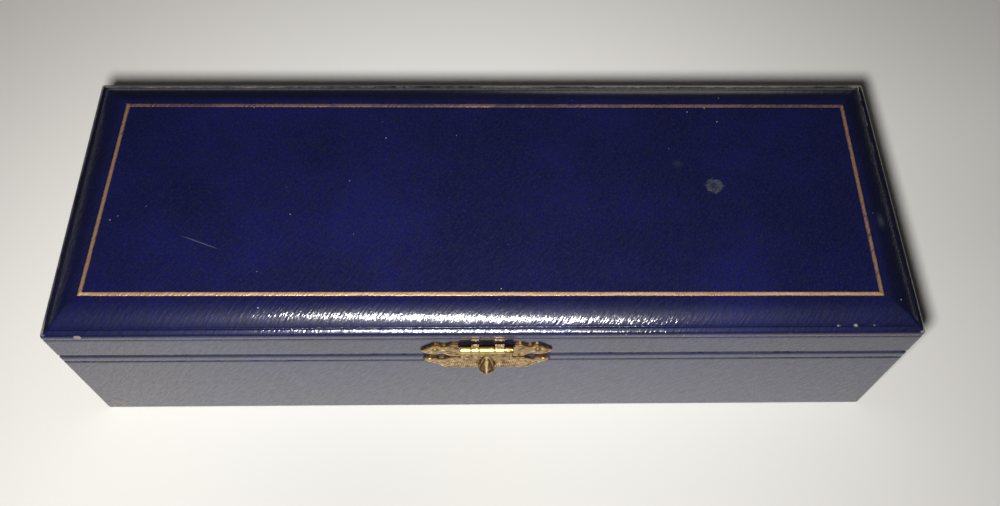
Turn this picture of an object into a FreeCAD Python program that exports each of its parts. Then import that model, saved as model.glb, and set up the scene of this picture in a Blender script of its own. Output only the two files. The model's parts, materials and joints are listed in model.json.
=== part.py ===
"""Leather-covered case for drafting instruments, closed, in millimetres.

Frame: origin at the centre of the underside, +X along the length, +Y towards the
hinges at the back, +Z up.  The catch is on the front, at -Y.

Construction: a wooden base tray and a wooden lid, each covered in leather that is
turned over the rims; card linings that stand proud of the base rim and locate the
lid; notched velvet saddles for the instruments; two bent-leaf hinges in a bevelled
back joint; a stamped brass catch with a hinged hasp that snaps over a ball stud.
"""
import FreeCAD, Part
import math
import os
from FreeCAD import Vector as V

os.makedirs("parts", exist_ok=True)

# ---------------------------------------------------------------- driving sizes
LEN = 205.0            # outside length, X
DEP = 74.0             # outside depth, Y, without the catch
Z_BASE = 34.7          # top of the base rim
Z_LID = 35.1           # bottom of the lid rim
Z_EDGE = 46.75         # top of the bead round the lid
Z_TOP = 48.85          # flat of the padded lid top
T_LEATHER = 0.7        # leather thickness
T_WALL = 3.6           # wooden walls of the base
T_RIM = 3.2            # wooden rims of the lid, thinner so the lid clears the linings
T_BOTTOM = 3.0         # bottom board
T_TOP = 3.05           # lid board
R_CORNER = 0.7         # leather over the upright corners
R_RIM = 0.45           # leather over the rim edges
R_BEAD = 1.0           # leather over the lid's top edge
CUSHION_IN = 1.9       # land between the lid's edge and the padded panel
CUSHION_RUN = 5.6      # width of the panel's rounded shoulder
TURN_IN = 10.0         # leather turned under the bottom
LINING = 1.5           # velvet-covered card linings of the base
Z_UPSTAND = 38.0       # linings stand this high, above the rim
LID_LINING = 0.8       # satin-covered card linings of the lid
PAD_FLOOR = 2.0        # velvet floor pad
SADDLE_X0, SADDLE_X1 = 26.0, 76.0   # each saddle, from the middle outwards
Z_SADDLE = 30.0        # top of the saddles
Z_SLOT = 19.0          # floor of the instrument slots
SLOTS = [(-28.2, -19.2), (-15.2, -3.2), (0.8, 14.8), (18.8, 27.8)]
PAD_Z0 = 39.9          # underside of the lid pad
HINGE_X = 62.0         # hinge centres, left and right
HINGE_LEN = 24.0
AX_Y, AX_Z = 34.8, 34.9   # lid hinge axis, inside the back bevel
R_BARREL, R_HPIN, R_HBORE, R_POCKET = 1.1, 0.45, 0.5, 1.45
BEVEL = 51.0           # degrees, each side of the back joint
BEVEL_GAP = 0.12
LEAF = 0.6             # hinge leaf thickness
GILT_W = 1.15          # gilt line on the lid
GILT_T, GILT_DEEP = 0.12, 0.16
# centre line of the hand-tooled gilt line, a little out of square
GILT = [(-94.2, -27.25), (92.9, -28.1), (94.1, 27.45), (-92.95, 27.85)]
Y_FACE = -DEP / 2.0    # front face
PLATE = 0.6            # catch plates
CATCH_Y, CATCH_Z = Y_FACE - 1.55, 40.9   # hasp pivot
R_KNUCKLE, R_CPIN, R_CBORE = 0.85, 0.35, 0.40
KNUCKLES = [-6.2, -3.65, -1.75, 1.95, 4.25, 6.35]   # five barrels along X
FLAP_IN = PLATE + 0.2  # hasp's inner face in front of the leather
FLAP_T = 0.6
STUD_Z = 31.2

HX, HY = LEN / 2.0, DEP / 2.0
WX, WY = HX - T_LEATHER, HY - T_LEATHER        # outside of the wood
IX, IY = WX - T_WALL, WY - T_WALL              # inside of the base walls
LX, LY = WX - T_RIM, WY - T_RIM                # inside of the lid rims
Z_WOOD = Z_BASE - T_LEATHER                    # top of the base walls
Z_RIM = Z_LID + T_LEATHER                      # bottom of the lid rims
Z_BOARD = Z_EDGE - T_LEATHER                   # top of the lid board
Z_FLOOR = T_LEATHER + T_BOTTOM                 # top of the bottom board
Z_CEIL = Z_BOARD - T_TOP                       # underside of the lid board

parts = {}


# ---------------------------------------------------------------- small helpers
def box(x0, x1, y0, y1, z0, z1):
    return Part.makeBox(x1 - x0, y1 - y0, z1 - z0, V(x0, y0, z0))


def poly(points):
    pts = [V(*p) for p in points]
    return Part.Face(Part.makePolygon(pts + [pts[0]]))


def prism_x(yz, x0, x1):
    return poly([(x0, y, z) for y, z in yz]).extrude(V(x1 - x0, 0, 0))


def prism_y(xz, y0, y1):
    return poly([(x, y0, z) for x, z in xz]).extrude(V(0, y1 - y0, 0))


def cyl(axis, a0, a1, p, q, r):
    if axis == "x":
        return Part.makeCylinder(r, a1 - a0, V(a0, p, q), V(1, 0, 0))
    if axis == "y":
        return Part.makeCylinder(r, a1 - a0, V(p, a0, q), V(0, 1, 0))
    return Part.makeCylinder(r, a1 - a0, V(p, q, a0), V(0, 0, 1))


def edges_at(shape, test):
    return [e for e in shape.Edges if all(test(v.Point) for v in e.Vertexes) and len(e.Vertexes) == 2]


def fillet(shape, radius, test):
    return shape.makeFillet(radius, edges_at(shape, test))


def near(a, b):
    return abs(a - b) < 1e-4


def upright(e):
    d = e.Vertexes[1].Point - e.Vertexes[0].Point
    return abs(d.x) < 1e-6 and abs(d.y) < 1e-6


def add(name, shape):
    solids = shape.Solids
    if not solids or not shape.isValid():
        raise RuntimeError(name + " is not a valid solid")
    out = solids[0] if len(solids) == 1 else Part.makeCompound(solids)
    parts[name] = out


def smooth_outline(points, y0, y1):
    """A closed outline of straight runs and smooth curves in the XZ plane, extruded along Y.
    points: list of runs; a run of two points is a line, a longer one a curve through them."""
    edges = []
    for run in points:
        vs = [V(x, y0, z) for x, z in run]
        if len(vs) == 2:
            edges.append(Part.LineSegment(vs[0], vs[1]).toShape())
        else:
            c = Part.BSplineCurve()
            c.interpolate(vs)
            edges.append(c.toShape())
    return Part.Face(Part.Wire(edges)).extrude(V(0, y1 - y0, 0))


def mirrored(right):
    """Runs of the right half, from the top middle round to the bottom middle, closed by their mirror image."""
    left = [[(-x, z) for x, z in reversed(run)] for run in reversed(right)]
    return right + left


# ---------------------------------------------------------------- back bevel
tb = math.tan(math.radians(BEVEL))
sb, cb = math.sin(math.radians(BEVEL)), math.cos(math.radians(BEVEL))


def base_bevel(offset):
    """Prism that removes everything above the base's bevel plane, moved in by offset."""
    py, pz = AX_Y - sb * offset, AX_Z - cb * offset
    return prism_x([(py - 5 * cb / sb, pz + 5), (py + 12 * cb, pz - 12 * sb), (py + 30, pz - 12 * sb), (py + 30, pz + 5)], -HX - 5, HX + 5)


def lid_bevel(offset):
    py, pz = AX_Y - sb * offset, AX_Z + cb * offset
    return prism_x([(py - 5 * cb / sb, pz - 5), (py + 12 * cb, pz + 12 * sb), (py + 30, pz + 12 * sb), (py + 30, pz - 5)], -HX - 5, HX + 5)


def pockets(grow=0.0):
    out = []
    for s in (-1, 1):
        c = s * HINGE_X
        out.append(cyl("x", c - HINGE_LEN / 2 - 0.4, c + HINGE_LEN / 2 + 0.4, AX_Y, AX_Z, R_POCKET + grow))
    return out


# ---------------------------------------------------------------- hinges
hinge_cut_base, hinge_cut_lid, base_nails, lid_nails = [], [], [], []
for side, s in (("left", -1), ("right", 1)):
    c = s * HINGE_X
    h = HINGE_LEN / 2
    outer = [(c - h, c - 4.1), (c + 4.1, c + h)]
    inner = [(c - 3.9, c + 3.9)]
    # base leaf: a plate let into the inside of the back wall, straps over the rim, two knuckles
    plate = box(c - h, c + h, IY, IY + LEAF, 25.0, Z_BASE)
    plate = plate.cut(cyl("x", c - 4.3, c + 4.3, AX_Y, AX_Z, R_POCKET))
    leaf = plate
    for x0, x1 in outer:
        leaf = leaf.fuse(box(x0, x1, IY, AX_Y, Z_BASE - LEAF, Z_BASE)).fuse(cyl("x", x0, x1, AX_Y, AX_Z, R_BARREL))
    leaf = leaf.cut(cyl("x", c - h - 1, c + h + 1, AX_Y, AX_Z, R_HBORE))
    # lid leaf: plate up the inside of the back rim, one strap and one knuckle
    lplate = box(c - h, c + h, LY, LY + LEAF, Z_LID, 41.4)
    for x0, x1 in ((c - h - 0.2, c - 3.9), (c + 3.9, c + h + 0.2)):
        lplate = lplate.cut(cyl("x", x0, x1, AX_Y, AX_Z, R_POCKET))
    lleaf = lplate
    for x0, x1 in inner:
        lleaf = lleaf.fuse(box(x0, x1, LY, AX_Y, Z_LID, Z_LID + LEAF)).fuse(cyl("x", x0, x1, AX_Y, AX_Z, R_BARREL))
    lleaf = lleaf.cut(cyl("x", c - h - 1, c + h + 1, AX_Y, AX_Z, R_HBORE))
    # countersunk nails
    for dx in (-7.5, 7.5):
        for y0, z, nails, which in ((IY, 28.6, base_nails, "b"), (LY, 39.2, lid_nails, "l")):
            nail = Part.makeCone(0.95, 0.45, LEAF, V(c + dx, y0, z), V(0, 1, 0)).fuse(cyl("y", y0 + LEAF, y0 + 2.5, c + dx, z, 0.45))
            nail = nail.removeSplitter()
            nails.append(nail)
            if which == "b":
                leaf = leaf.cut(nail)
            else:
                lleaf = lleaf.cut(nail)
    add(side + "_hinge_base_leaf", leaf.removeSplitter())
    add(side + "_hinge_lid_leaf", lleaf.removeSplitter())
    pin = cyl("x", c - h, c + h, AX_Y, AX_Z, R_HPIN)
    for x0 in (c - h - 0.25, c + h):
        pin = pin.fuse(cyl("x", x0, x0 + 0.25, AX_Y, AX_Z, 0.75))
    add(side + "_hinge_pin", pin.removeSplitter())
    hinge_cut_base.append(box(c - h, c + h, IY, IY + LEAF, 25.0, Z_BASE))
    hinge_cut_base.append(box(c - h, c + h, IY, AX_Y, Z_BASE - LEAF, Z_BASE + 0.01))
    hinge_cut_lid.append(box(c - h, c + h, LY, LY + LEAF, Z_LID - 0.01, 41.4))
    hinge_cut_lid.append(box(c - h, c + h, LY, AX_Y, Z_LID - 0.01, Z_LID + LEAF))
add("hinge_base_nails", Part.makeCompound(base_nails))
add("hinge_lid_nails", Part.makeCompound(lid_nails))

# ---------------------------------------------------------------- catch
y0 = Y_FACE
# upper plate, on the lid: scalloped wings running out to a point
upper_right = [
    [(0.0, 41.75), (8.3, 41.75)],
    [(8.3, 41.75), (8.9, 41.45), (9.7, 40.85), (10.6, 40.95), (11.4, 41.45), (12.2, 41.6), (12.9, 41.2), (13.9, 40.3), (15.0, 39.3), (15.65, 38.6)],
    [(15.65, 38.6), (15.5, 37.9), (14.7, 37.1), (13.5, 36.4), (12.4, 36.15), (11.5, 36.35), (10.6, 36.65), (9.8, 36.2), (9.2, 35.5), (8.4, 35.2)],
    [(8.4, 35.2), (0.0, 35.2)],
]
upper = smooth_outline(mirrored(upper_right), y0, y0 - PLATE)
lower_right = [
    [(0.0, 34.55), (8.8, 34.55)],
    [(8.8, 34.55), (9.6, 34.1), (10.5, 33.6), (11.5, 33.75), (12.2, 34.3), (13.0, 34.55), (14.0, 34.55), (14.9, 34.2), (15.35, 33.5)],
    [(15.35, 33.5), (15.1, 32.7), (14.3, 32.1), (13.5, 31.6), (13.0, 30.9), (12.3, 30.6), (11.6, 30.1), (11.0, 29.2), (10.2, 28.5), (9.0, 28.15), (7.4, 28.1)],
    [(7.4, 28.1), (0.0, 28.1)],
]
lower = smooth_outline(mirrored(lower_right), y0, y0 - PLATE)
# barrels on the upper plate (second and fourth) and on the hasp (first, third, fifth)
gap = 0.08
for i in (1, 3):
    x0, x1 = KNUCKLES[i] + gap, KNUCKLES[i + 1] - gap
    upper = upper.fuse(cyl("x", x0, x1, CATCH_Y, CATCH_Z, R_KNUCKLE))
    upper = upper.fuse(box(x0, x1, CATCH_Y, y0 - PLATE / 2, CATCH_Z + 0.15, CATCH_Z + R_KNUCKLE))
upper = upper.cut(cyl("x", -9, 9, CATCH_Y, CATCH_Z, R_CBORE))
pin_spots_upper = [(-12.2, 38.9), (12.2, 38.9)]
pin_spots_lower = [(-13.7, 33.3), (13.7, 33.3)]


def escutcheon_pin(x, z):
    head = Part.makeSphere(0.95, V(x, y0 - PLATE + 0.45, z)).common(box(x - 2, x + 2, y0 - PLATE - 1.2, y0 - PLATE, z - 2, z + 2))
    return head.fuse(cyl("y", y0 - PLATE, y0 + 3.6, x, z, 0.4)).removeSplitter()


upper_pins = [escutcheon_pin(x, z) for x, z in pin_spots_upper]
lower_pins = [escutcheon_pin(x, z) for x, z in pin_spots_lower]
holes_upper = [cyl("y", y0 - PLATE - 0.01, y0 + 3.6, x, z, 0.4) for x, z in pin_spots_upper]
holes_lower = [cyl("y", y0 - PLATE - 0.01, y0 + 3.6, x, z, 0.4) for x, z in pin_spots_lower]
stud = (
    cyl("y", y0 - PLATE - 0.55, y0 + 2.6, 0, STUD_Z, 0.45)
    .fuse(Part.makeSphere(0.75, V(0, y0 - 1.1, STUD_Z)).common(box(-2, 2, y0 - 3, y0 - PLATE, STUD_Z - 2, STUD_Z + 2)))
    .fuse(cyl("y", y0 - PLATE - 0.12, y0 - PLATE, 0, STUD_Z, 0.62))
    .removeSplitter()
)
stud_hole = cyl("y", y0 - PLATE - 0.01, y0 + 2.6, 0, STUD_Z, 0.45)
for hcut in holes_upper:
    upper = upper.cut(hcut)
for hcut in holes_lower + [stud_hole]:
    lower = lower.cut(hcut)
add("catch_upper_plate", upper.removeSplitter())
add("catch_lower_plate", lower.removeSplitter())
add("catch_stud", stud)
add("upper_plate_pins", Part.makeCompound(upper_pins))
add("lower_plate_pins", Part.makeCompound(lower_pins))

# hasp: flap, three barrels, tapering tongue and a hollow keeled boss over the stud
yi = y0 - FLAP_IN
hasp_right = [
    [(0.0, CATCH_Z), (6.2, CATCH_Z)],
    [(6.2, CATCH_Z), (6.2, 34.6)],
    [(6.2, 34.6), (5.7, 33.9), (4.6, 33.5), (3.4, 33.1), (2.65, 32.3), (2.4, 31.0), (2.1, 29.6), (1.3, 28.3), (0.0, 27.8)],
]
hasp_runs = hasp_right[:2] + [hasp_right[2][:-1] + [(0.0, 27.8)]]
left_runs = [[(-x, z) for x, z in reversed(run)] for run in reversed(hasp_runs)]
curve = hasp_runs[2] + left_runs[0][1:]
hasp = smooth_outline([hasp_runs[0], hasp_runs[1], curve, left_runs[1], left_runs[2]], yi, yi - FLAP_T)
# clear the plate's barrels, then add the hasp's own
for i in (1, 3):
    hasp = hasp.cut(box(KNUCKLES[i] - 0.02, KNUCKLES[i + 1] + 0.02, yi - FLAP_T - 1, yi + 1, CATCH_Z - R_KNUCKLE - 0.15, CATCH_Z + 1))
for i in (0, 2, 4):
    hasp = hasp.fuse(cyl("x", KNUCKLES[i] + gap, KNUCKLES[i + 1] - gap, CATCH_Y, CATCH_Z, R_KNUCKLE))
hasp = hasp.cut(cyl("x", -9, 9, CATCH_Y, CATCH_Z, R_CBORE))
spade = [(0.0, 37.0), (0.6, 36.75), (0.9, 36.1), (1.2, 35.3), (1.6, 34.4), (1.95, 33.3), (2.05, 32.2), (1.95, 31.0), (1.6, 29.8), (1.05, 28.85), (0.5, 28.45), (0.0, 28.35)]
outline = spade + [(-x, z) for x, z in reversed(spade[1:-1])]


def spade_wire(y, kx, kz):
    zc = 32.2
    pts = [V(x * kx, y, zc + (z - zc) * kz) for x, z in outline]
    return Part.makePolygon(pts + [pts[0]])


ye = yi - FLAP_T + 0.1
boss = Part.makeLoft([spade_wire(ye, 1.0, 1.0), spade_wire(ye - 0.9, 0.85, 0.95), spade_wire(ye - 1.6, 0.25, 0.86)], True, True)
hasp = hasp.fuse(boss).cut(Part.makeSphere(1.0, V(0, y0 - 1.15, STUD_Z)))
# finger lip: the tongue's end turned outwards
lip = prism_x([(yi - FLAP_T + 0.05, 29.4), (yi - FLAP_T - 0.9, 27.8), (yi - FLAP_T + 0.05, 27.8)], -1.0, 1.0)
hasp = hasp.fuse(lip)
add("hasp", hasp.removeSplitter())
cpin = cyl("x", KNUCKLES[0], KNUCKLES[5], CATCH_Y, CATCH_Z, R_CPIN)
add("hasp_pin", cpin)

# ---------------------------------------------------------------- base, wood
walls_front = box(-WX, WX, -WY, -IY, Z_FLOOR, Z_WOOD)
walls_back = box(-WX, WX, IY, WY, Z_FLOOR, Z_WOOD)
half = T_WALL / 2
for s in (-1, 1):
    x0, x1 = sorted((s * IX, s * WX))
    walls_front = walls_front.cut(box(x0, x1, -IY - half, -IY, Z_FLOOR, Z_WOOD))
    walls_back = walls_back.cut(box(x0, x1, IY, IY + half, Z_FLOOR, Z_WOOD))
walls_back = walls_back.cut(base_bevel(BEVEL_GAP + T_LEATHER))
for p in pockets() + hinge_cut_base + base_nails:
    walls_back = walls_back.cut(p)
for hcut in holes_lower + [stud_hole]:
    walls_front = walls_front.cut(hcut)
add("base_bottom_board", box(-WX, WX, -WY, WY, T_LEATHER, Z_FLOOR))
add("base_front_wall", walls_front.removeSplitter())
add("base_back_wall", walls_back.removeSplitter())
for side, s in (("left", -1), ("right", 1)):
    x0, x1 = sorted((s * IX, s * WX))
    add("base_%s_wall" % side, box(x0, x1, -IY - half, IY + half, Z_FLOOR, Z_WOOD).cut(base_bevel(BEVEL_GAP + T_LEATHER)))

# ---------------------------------------------------------------- base, leather
outer = box(-HX, HX, -HY, HY, 0, Z_BASE)
outer = outer.makeFillet(R_CORNER, [e for e in outer.Edges if upright(e)])
outer = outer.makeFillet(R_RIM, [e for e in outer.Edges if all(near(v.Point.z, Z_BASE) for v in e.Vertexes)])
outer = outer.cut(base_bevel(BEVEL_GAP))
wood = box(-WX, WX, -WY, WY, T_LEATHER, Z_WOOD).cut(base_bevel(BEVEL_GAP + T_LEATHER))
leather = outer.cut(wood).cut(box(-IX, IX, -IY, IY, Z_WOOD - 1, Z_BASE + 1)).cut(box(-HX + TURN_IN, HX - TURN_IN, -HY + TURN_IN, HY - TURN_IN, -1, T_LEATHER + 0.01))
for p in pockets() + hinge_cut_base + holes_lower + [stud_hole]:
    leather = leather.cut(p)
add("base_leather", leather.removeSplitter())
add("base_sole", box(-HX + TURN_IN, HX - TURN_IN, -HY + TURN_IN, HY - TURN_IN, 0, T_LEATHER))

# ---------------------------------------------------------------- base, linings and fittings
lining_front = box(-IX, IX, -IY, -IY + LINING, Z_FLOOR, Z_UPSTAND)
lining_back = box(-IX, IX, IY - LINING, IY, Z_FLOOR, Z_UPSTAND)
lining_left = box(-IX, -IX + LINING, -IY + LINING, IY - LINING, Z_FLOOR, Z_UPSTAND)
lining_right = box(IX - LINING, IX, -IY + LINING, IY - LINING, Z_FLOOR, Z_UPSTAND)
for name, shape, axis in (
    ("base_front_lining", lining_front, "x"), ("base_back_lining", lining_back, "x"),
    ("base_left_lining", lining_left, "y"), ("base_right_lining", lining_right, "y"),
):
    tops = [e for e in shape.Edges if all(near(v.Point.z, Z_UPSTAND) for v in e.Vertexes) and abs(getattr(e.Vertexes[1].Point - e.Vertexes[0].Point, axis)) > 5]
    add(name, shape.makeFillet(0.6, tops))
FX, FY = IX - LINING, IY - LINING
add("floor_pad", box(-FX, FX, -FY, FY, Z_FLOOR, Z_FLOOR + PAD_FLOOR))
Z_PAD = Z_FLOOR + PAD_FLOOR
for side, s in (("left", -1), ("right", 1)):
    x0, x1 = sorted((s * SADDLE_X0, s * SADDLE_X1))
    saddle = box(x0, x1, -FY, FY, Z_PAD, Z_SADDLE)
    for a, b in SLOTS:
        saddle = saddle.cut(box(x0 - 1, x1 + 1, a, b, Z_SLOT, Z_SADDLE + 1))
    add("%s_saddle" % side, saddle)

# ---------------------------------------------------------------- lid, wood
rim_front = box(-WX, WX, -WY, -LY, Z_RIM, Z_CEIL)
rim_back = box(-WX, WX, LY, WY, Z_RIM, Z_CEIL)
halfr = T_RIM / 2
for s in (-1, 1):
    x0, x1 = sorted((s * LX, s * WX))
    rim_front = rim_front.cut(box(x0, x1, -LY - halfr, -LY, Z_RIM, Z_CEIL))
    rim_back = rim_back.cut(box(x0, x1, LY, LY + halfr, Z_RIM, Z_CEIL))
rim_back = rim_back.cut(lid_bevel(BEVEL_GAP + T_LEATHER))
for p in pockets() + hinge_cut_lid + lid_nails:
    rim_back = rim_back.cut(p)
for hcut in holes_upper:
    rim_front = rim_front.cut(hcut)
add("lid_top_board", box(-WX, WX, -WY, WY, Z_CEIL, Z_BOARD))
add("lid_front_rim", rim_front.removeSplitter())
add("lid_back_rim", rim_back.removeSplitter())
for side, s in (("left", -1), ("right", 1)):
    x0, x1 = sorted((s * LX, s * WX))
    add("lid_%s_rim" % side, box(x0, x1, -LY - halfr, LY + halfr, Z_RIM, Z_CEIL).cut(lid_bevel(BEVEL_GAP + T_LEATHER)))


# ---------------------------------------------------------------- lid, padding, leather and gilt line
def cushion(inset, z_bottom, z_flat):
    """Padded panel: arc shoulders on all four sides, mitred at the corners."""
    run = CUSHION_RUN
    drop = Z_TOP - Z_EDGE
    radius = (run * run + drop * drop) / (2 * drop)

    def profile(half_width):
        a = half_width - CUSHION_IN - inset
        b = a - run
        zc = z_flat - radius
        ang = math.asin(run / radius) / 2
        mid = (b + radius * math.sin(ang), zc + radius * math.cos(ang))
        low = z_flat - drop
        return a, b, mid, low

    solids = []
    for axis, hw, length in (("x", HY, HX + 5), ("y", HX, HY + 5)):
        a, b, mid, low = profile(hw)
        z0 = min(z_bottom, low)

        def pt(u, z, end):
            return V(end, u, z) if axis == "x" else V(u, end, z)

        edges = [
            Part.LineSegment(pt(-a, z0 - 0.01, -length), pt(a, z0 - 0.01, -length)).toShape(),
            Part.LineSegment(pt(a, z0 - 0.01, -length), pt(a, low, -length)).toShape(),
            Part.Arc(pt(a, low, -length), pt(mid[0], mid[1], -length), pt(b, z_flat, -length)).toShape(),
            Part.LineSegment(pt(b, z_flat, -length), pt(-b, z_flat, -length)).toShape(),
            Part.Arc(pt(-b, z_flat, -length), pt(-mid[0], mid[1], -length), pt(-a, low, -length)).toShape(),
            Part.LineSegment(pt(-a, low, -length), pt(-a, z0 - 0.01, -length)).toShape(),
        ]
        face = Part.Face(Part.Wire(edges))
        solids.append(face.extrude(V(2 * length, 0, 0) if axis == "x" else V(0, 2 * length, 0)))
    both = solids[0].common(solids[1])
    return both.common(box(-HX, HX, -HY, HY, z_bottom, z_flat + 1))


lid_outer = box(-HX, HX, -HY, HY, Z_LID, Z_EDGE)
lid_outer = lid_outer.makeFillet(R_CORNER, [e for e in lid_outer.Edges if upright(e)])
lid_outer = lid_outer.makeFillet(R_BEAD, [e for e in lid_outer.Edges if all(near(v.Point.z, Z_EDGE) for v in e.Vertexes)])
lid_outer = lid_outer.makeFillet(R_RIM, [e for e in lid_outer.Edges if all(near(v.Point.z, Z_LID) for v in e.Vertexes)])
lid_outer = lid_outer.cut(lid_bevel(BEVEL_GAP))
padding = cushion(T_LEATHER, Z_BOARD, Z_TOP - T_LEATHER)
add("lid_top_padding", padding)
lid_outer = lid_outer.fuse(cushion(0.0, Z_BOARD, Z_TOP))
lid_wood = box(-WX, WX, -WY, WY, Z_RIM, Z_BOARD).cut(lid_bevel(BEVEL_GAP + T_LEATHER))
lid_leather = lid_outer.cut(lid_wood).cut(padding).cut(box(-LX, LX, -LY, LY, Z_LID - 1, Z_RIM + 1))


def gilt_frame(width, z0, z1):
    """Frame of constant width along the tooled centre line."""
    def offset(points, d):
        n = len(points)
        out = []
        for i in range(n):
            p0, p1, p2 = points[i - 1], points[i], points[(i + 1) % n]
            lines = []
            for a, b in ((p0, p1), (p1, p2)):
                dx, dy = b[0] - a[0], b[1] - a[1]
                ln = math.hypot(dx, dy)
                nx, ny = dy / ln, -dx / ln      # outward for a counter-clockwise outline
                lines.append(((a[0] + nx * d, a[1] + ny * d), (dx, dy)))
            (ax, ay), (ux, uy) = lines[0]
            (bx, by), (vx, vy) = lines[1]
            t = ((bx - ax) * vy - (by - ay) * vx) / (ux * vy - uy * vx)
            out.append((ax + ux * t, ay + uy * t))
        return out

    big = poly([(x, y, z0) for x, y in offset(GILT, width / 2)]).extrude(V(0, 0, z1 - z0))
    small = poly([(x, y, z0 - 1) for x, y in offset(GILT, -width / 2)]).extrude(V(0, 0, z1 - z0 + 2))
    return big.cut(small)


lid_leather = lid_leather.cut(gilt_frame(GILT_W, Z_TOP - GILT_DEEP, Z_TOP + 1))
for p in pockets() + hinge_cut_lid + holes_upper:
    lid_leather = lid_leather.cut(p)
add("lid_leather", lid_leather.removeSplitter())
add("gilt_border", gilt_frame(GILT_W, Z_TOP - GILT_DEEP, Z_TOP - GILT_DEEP + GILT_T))

# ---------------------------------------------------------------- lid, linings and pad
ZL0 = Z_UPSTAND + 0.8
add("lid_front_lining", box(-LX, LX, -LY, -LY + LID_LINING, ZL0, Z_CEIL))
add("lid_back_lining", box(-LX, LX, LY - LID_LINING, LY, ZL0, Z_CEIL))
add("lid_left_lining", box(-LX, -LX + LID_LINING, -LY + LID_LINING, LY - LID_LINING, ZL0, Z_CEIL))
add("lid_right_lining", box(LX - LID_LINING, LX, -LY + LID_LINING, LY - LID_LINING, ZL0, Z_CEIL))
PX, PY = LX - LID_LINING - 0.15, LY - LID_LINING - 0.15
pad = box(-PX, PX, -PY, PY, PAD_Z0, Z_CEIL)
pad = pad.makeFillet(1.2, [e for e in pad.Edges if all(near(v.Point.z, PAD_Z0) for v in e.Vertexes)])
add("lid_pad", pad)

# ---------------------------------------------------------------- write
for f in os.listdir("parts"):
    if f.endswith(".step") and f[:-5] not in parts:
        os.remove(os.path.join("parts", f))
for name, shape in sorted(parts.items()):
    shape.exportStep("parts/%s.step" % name)
    print("%-24s solids %d  volume %.2f mm3  valid %s" % (name, len(shape.Solids), shape.Volume, shape.isValid()))
print(len(parts), "nodes")
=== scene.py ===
import json
import math

import bmesh
import bpy
import numpy as np
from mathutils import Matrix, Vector, geometry, noise


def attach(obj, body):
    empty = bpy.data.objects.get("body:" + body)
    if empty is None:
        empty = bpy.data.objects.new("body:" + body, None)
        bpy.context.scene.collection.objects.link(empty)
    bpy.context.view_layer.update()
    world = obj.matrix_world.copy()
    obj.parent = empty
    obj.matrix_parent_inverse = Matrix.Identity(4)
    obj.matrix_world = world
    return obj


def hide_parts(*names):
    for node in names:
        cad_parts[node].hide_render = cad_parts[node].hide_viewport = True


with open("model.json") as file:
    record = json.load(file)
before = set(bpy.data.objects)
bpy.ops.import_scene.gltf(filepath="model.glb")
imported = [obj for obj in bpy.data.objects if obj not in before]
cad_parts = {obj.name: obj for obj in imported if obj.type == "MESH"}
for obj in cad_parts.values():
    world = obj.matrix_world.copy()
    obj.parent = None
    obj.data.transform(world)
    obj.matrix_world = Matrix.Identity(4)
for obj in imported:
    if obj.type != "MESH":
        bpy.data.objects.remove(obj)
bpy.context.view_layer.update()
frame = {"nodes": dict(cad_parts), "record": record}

NODES = frame["nodes"]
MM = 0.001

# ------------------------------------------------------------------ sizes of the covered faces, mm
HX, HY = 102.5, 37.0
Z_BASE, Z_LID, Z_EDGE, Z_TOP = 34.7, 35.1, 46.75, 48.85
AX_Y, AX_Z = 34.8, 34.9
BEVEL = math.radians(51.0)
GAP = 0.12
HINGE_X, HINGE_HALF = 62.0, 12.4
R_POCKET = 1.45
MARGIN = 12.0
GILT_IN = 9.15
GILT_CORNERS = {(-1, -1): (-94.2, -27.25), (1, -1): (92.9, -28.1), (1, 1): (94.1, 27.45), (-1, 1): (-92.95, 27.85)}
Y_FACE = -37.0


# ------------------------------------------------------------------ mesh helpers
def new_object(name, verts, faces, material, smooth=True, normals=True):
    me = bpy.data.meshes.new(name)
    me.from_pydata([tuple(v) for v in np.asarray(verts, float) * MM], [], [tuple(f) for f in faces])
    if normals:
        bm = bmesh.new()
        bm.from_mesh(me)
        bmesh.ops.recalc_face_normals(bm, faces=bm.faces)
        bm.to_mesh(me)
        bm.free()
    me.validate()
    me.update()
    if smooth:
        me.polygons.foreach_set("use_smooth", [True] * len(me.polygons))
    ob = bpy.data.objects.new(name, me)
    bpy.context.scene.collection.objects.link(ob)
    me.materials.append(material)
    return ob


def point_attribute(ob, name, values):
    a = ob.data.attributes.new(name, "FLOAT", "POINT")
    a.data.foreach_set("value", np.asarray(values, np.float32))


def smoothstep(a, b, x):
    t = np.clip((np.asarray(x, float) - a) / (b - a), 0, 1)
    return t * t * (3 - 2 * t)


def vnoise(points, scale, seed=0.0):
    return np.array([noise.noise(Vector((p[0] * scale + seed, p[1] * scale - seed, p[2] * scale + 2 * seed))) for p in points])


def finish_piece(ob, body, slot, *nodes):
    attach(ob, body)
    if nodes:
        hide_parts(*nodes)
    return ob


def sharp_by_angle(ob, degrees):
    """Marks the edges above an angle sharp, so that broad faces stay flat and corners stay crisp."""
    bm = bmesh.new()
    bm.from_mesh(ob.data)
    limit = math.radians(degrees)
    for e in bm.edges:
        e.smooth = not (len(e.link_faces) == 2 and e.calc_face_angle(0.0) > limit)
    bm.to_mesh(ob.data)
    bm.free()


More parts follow.
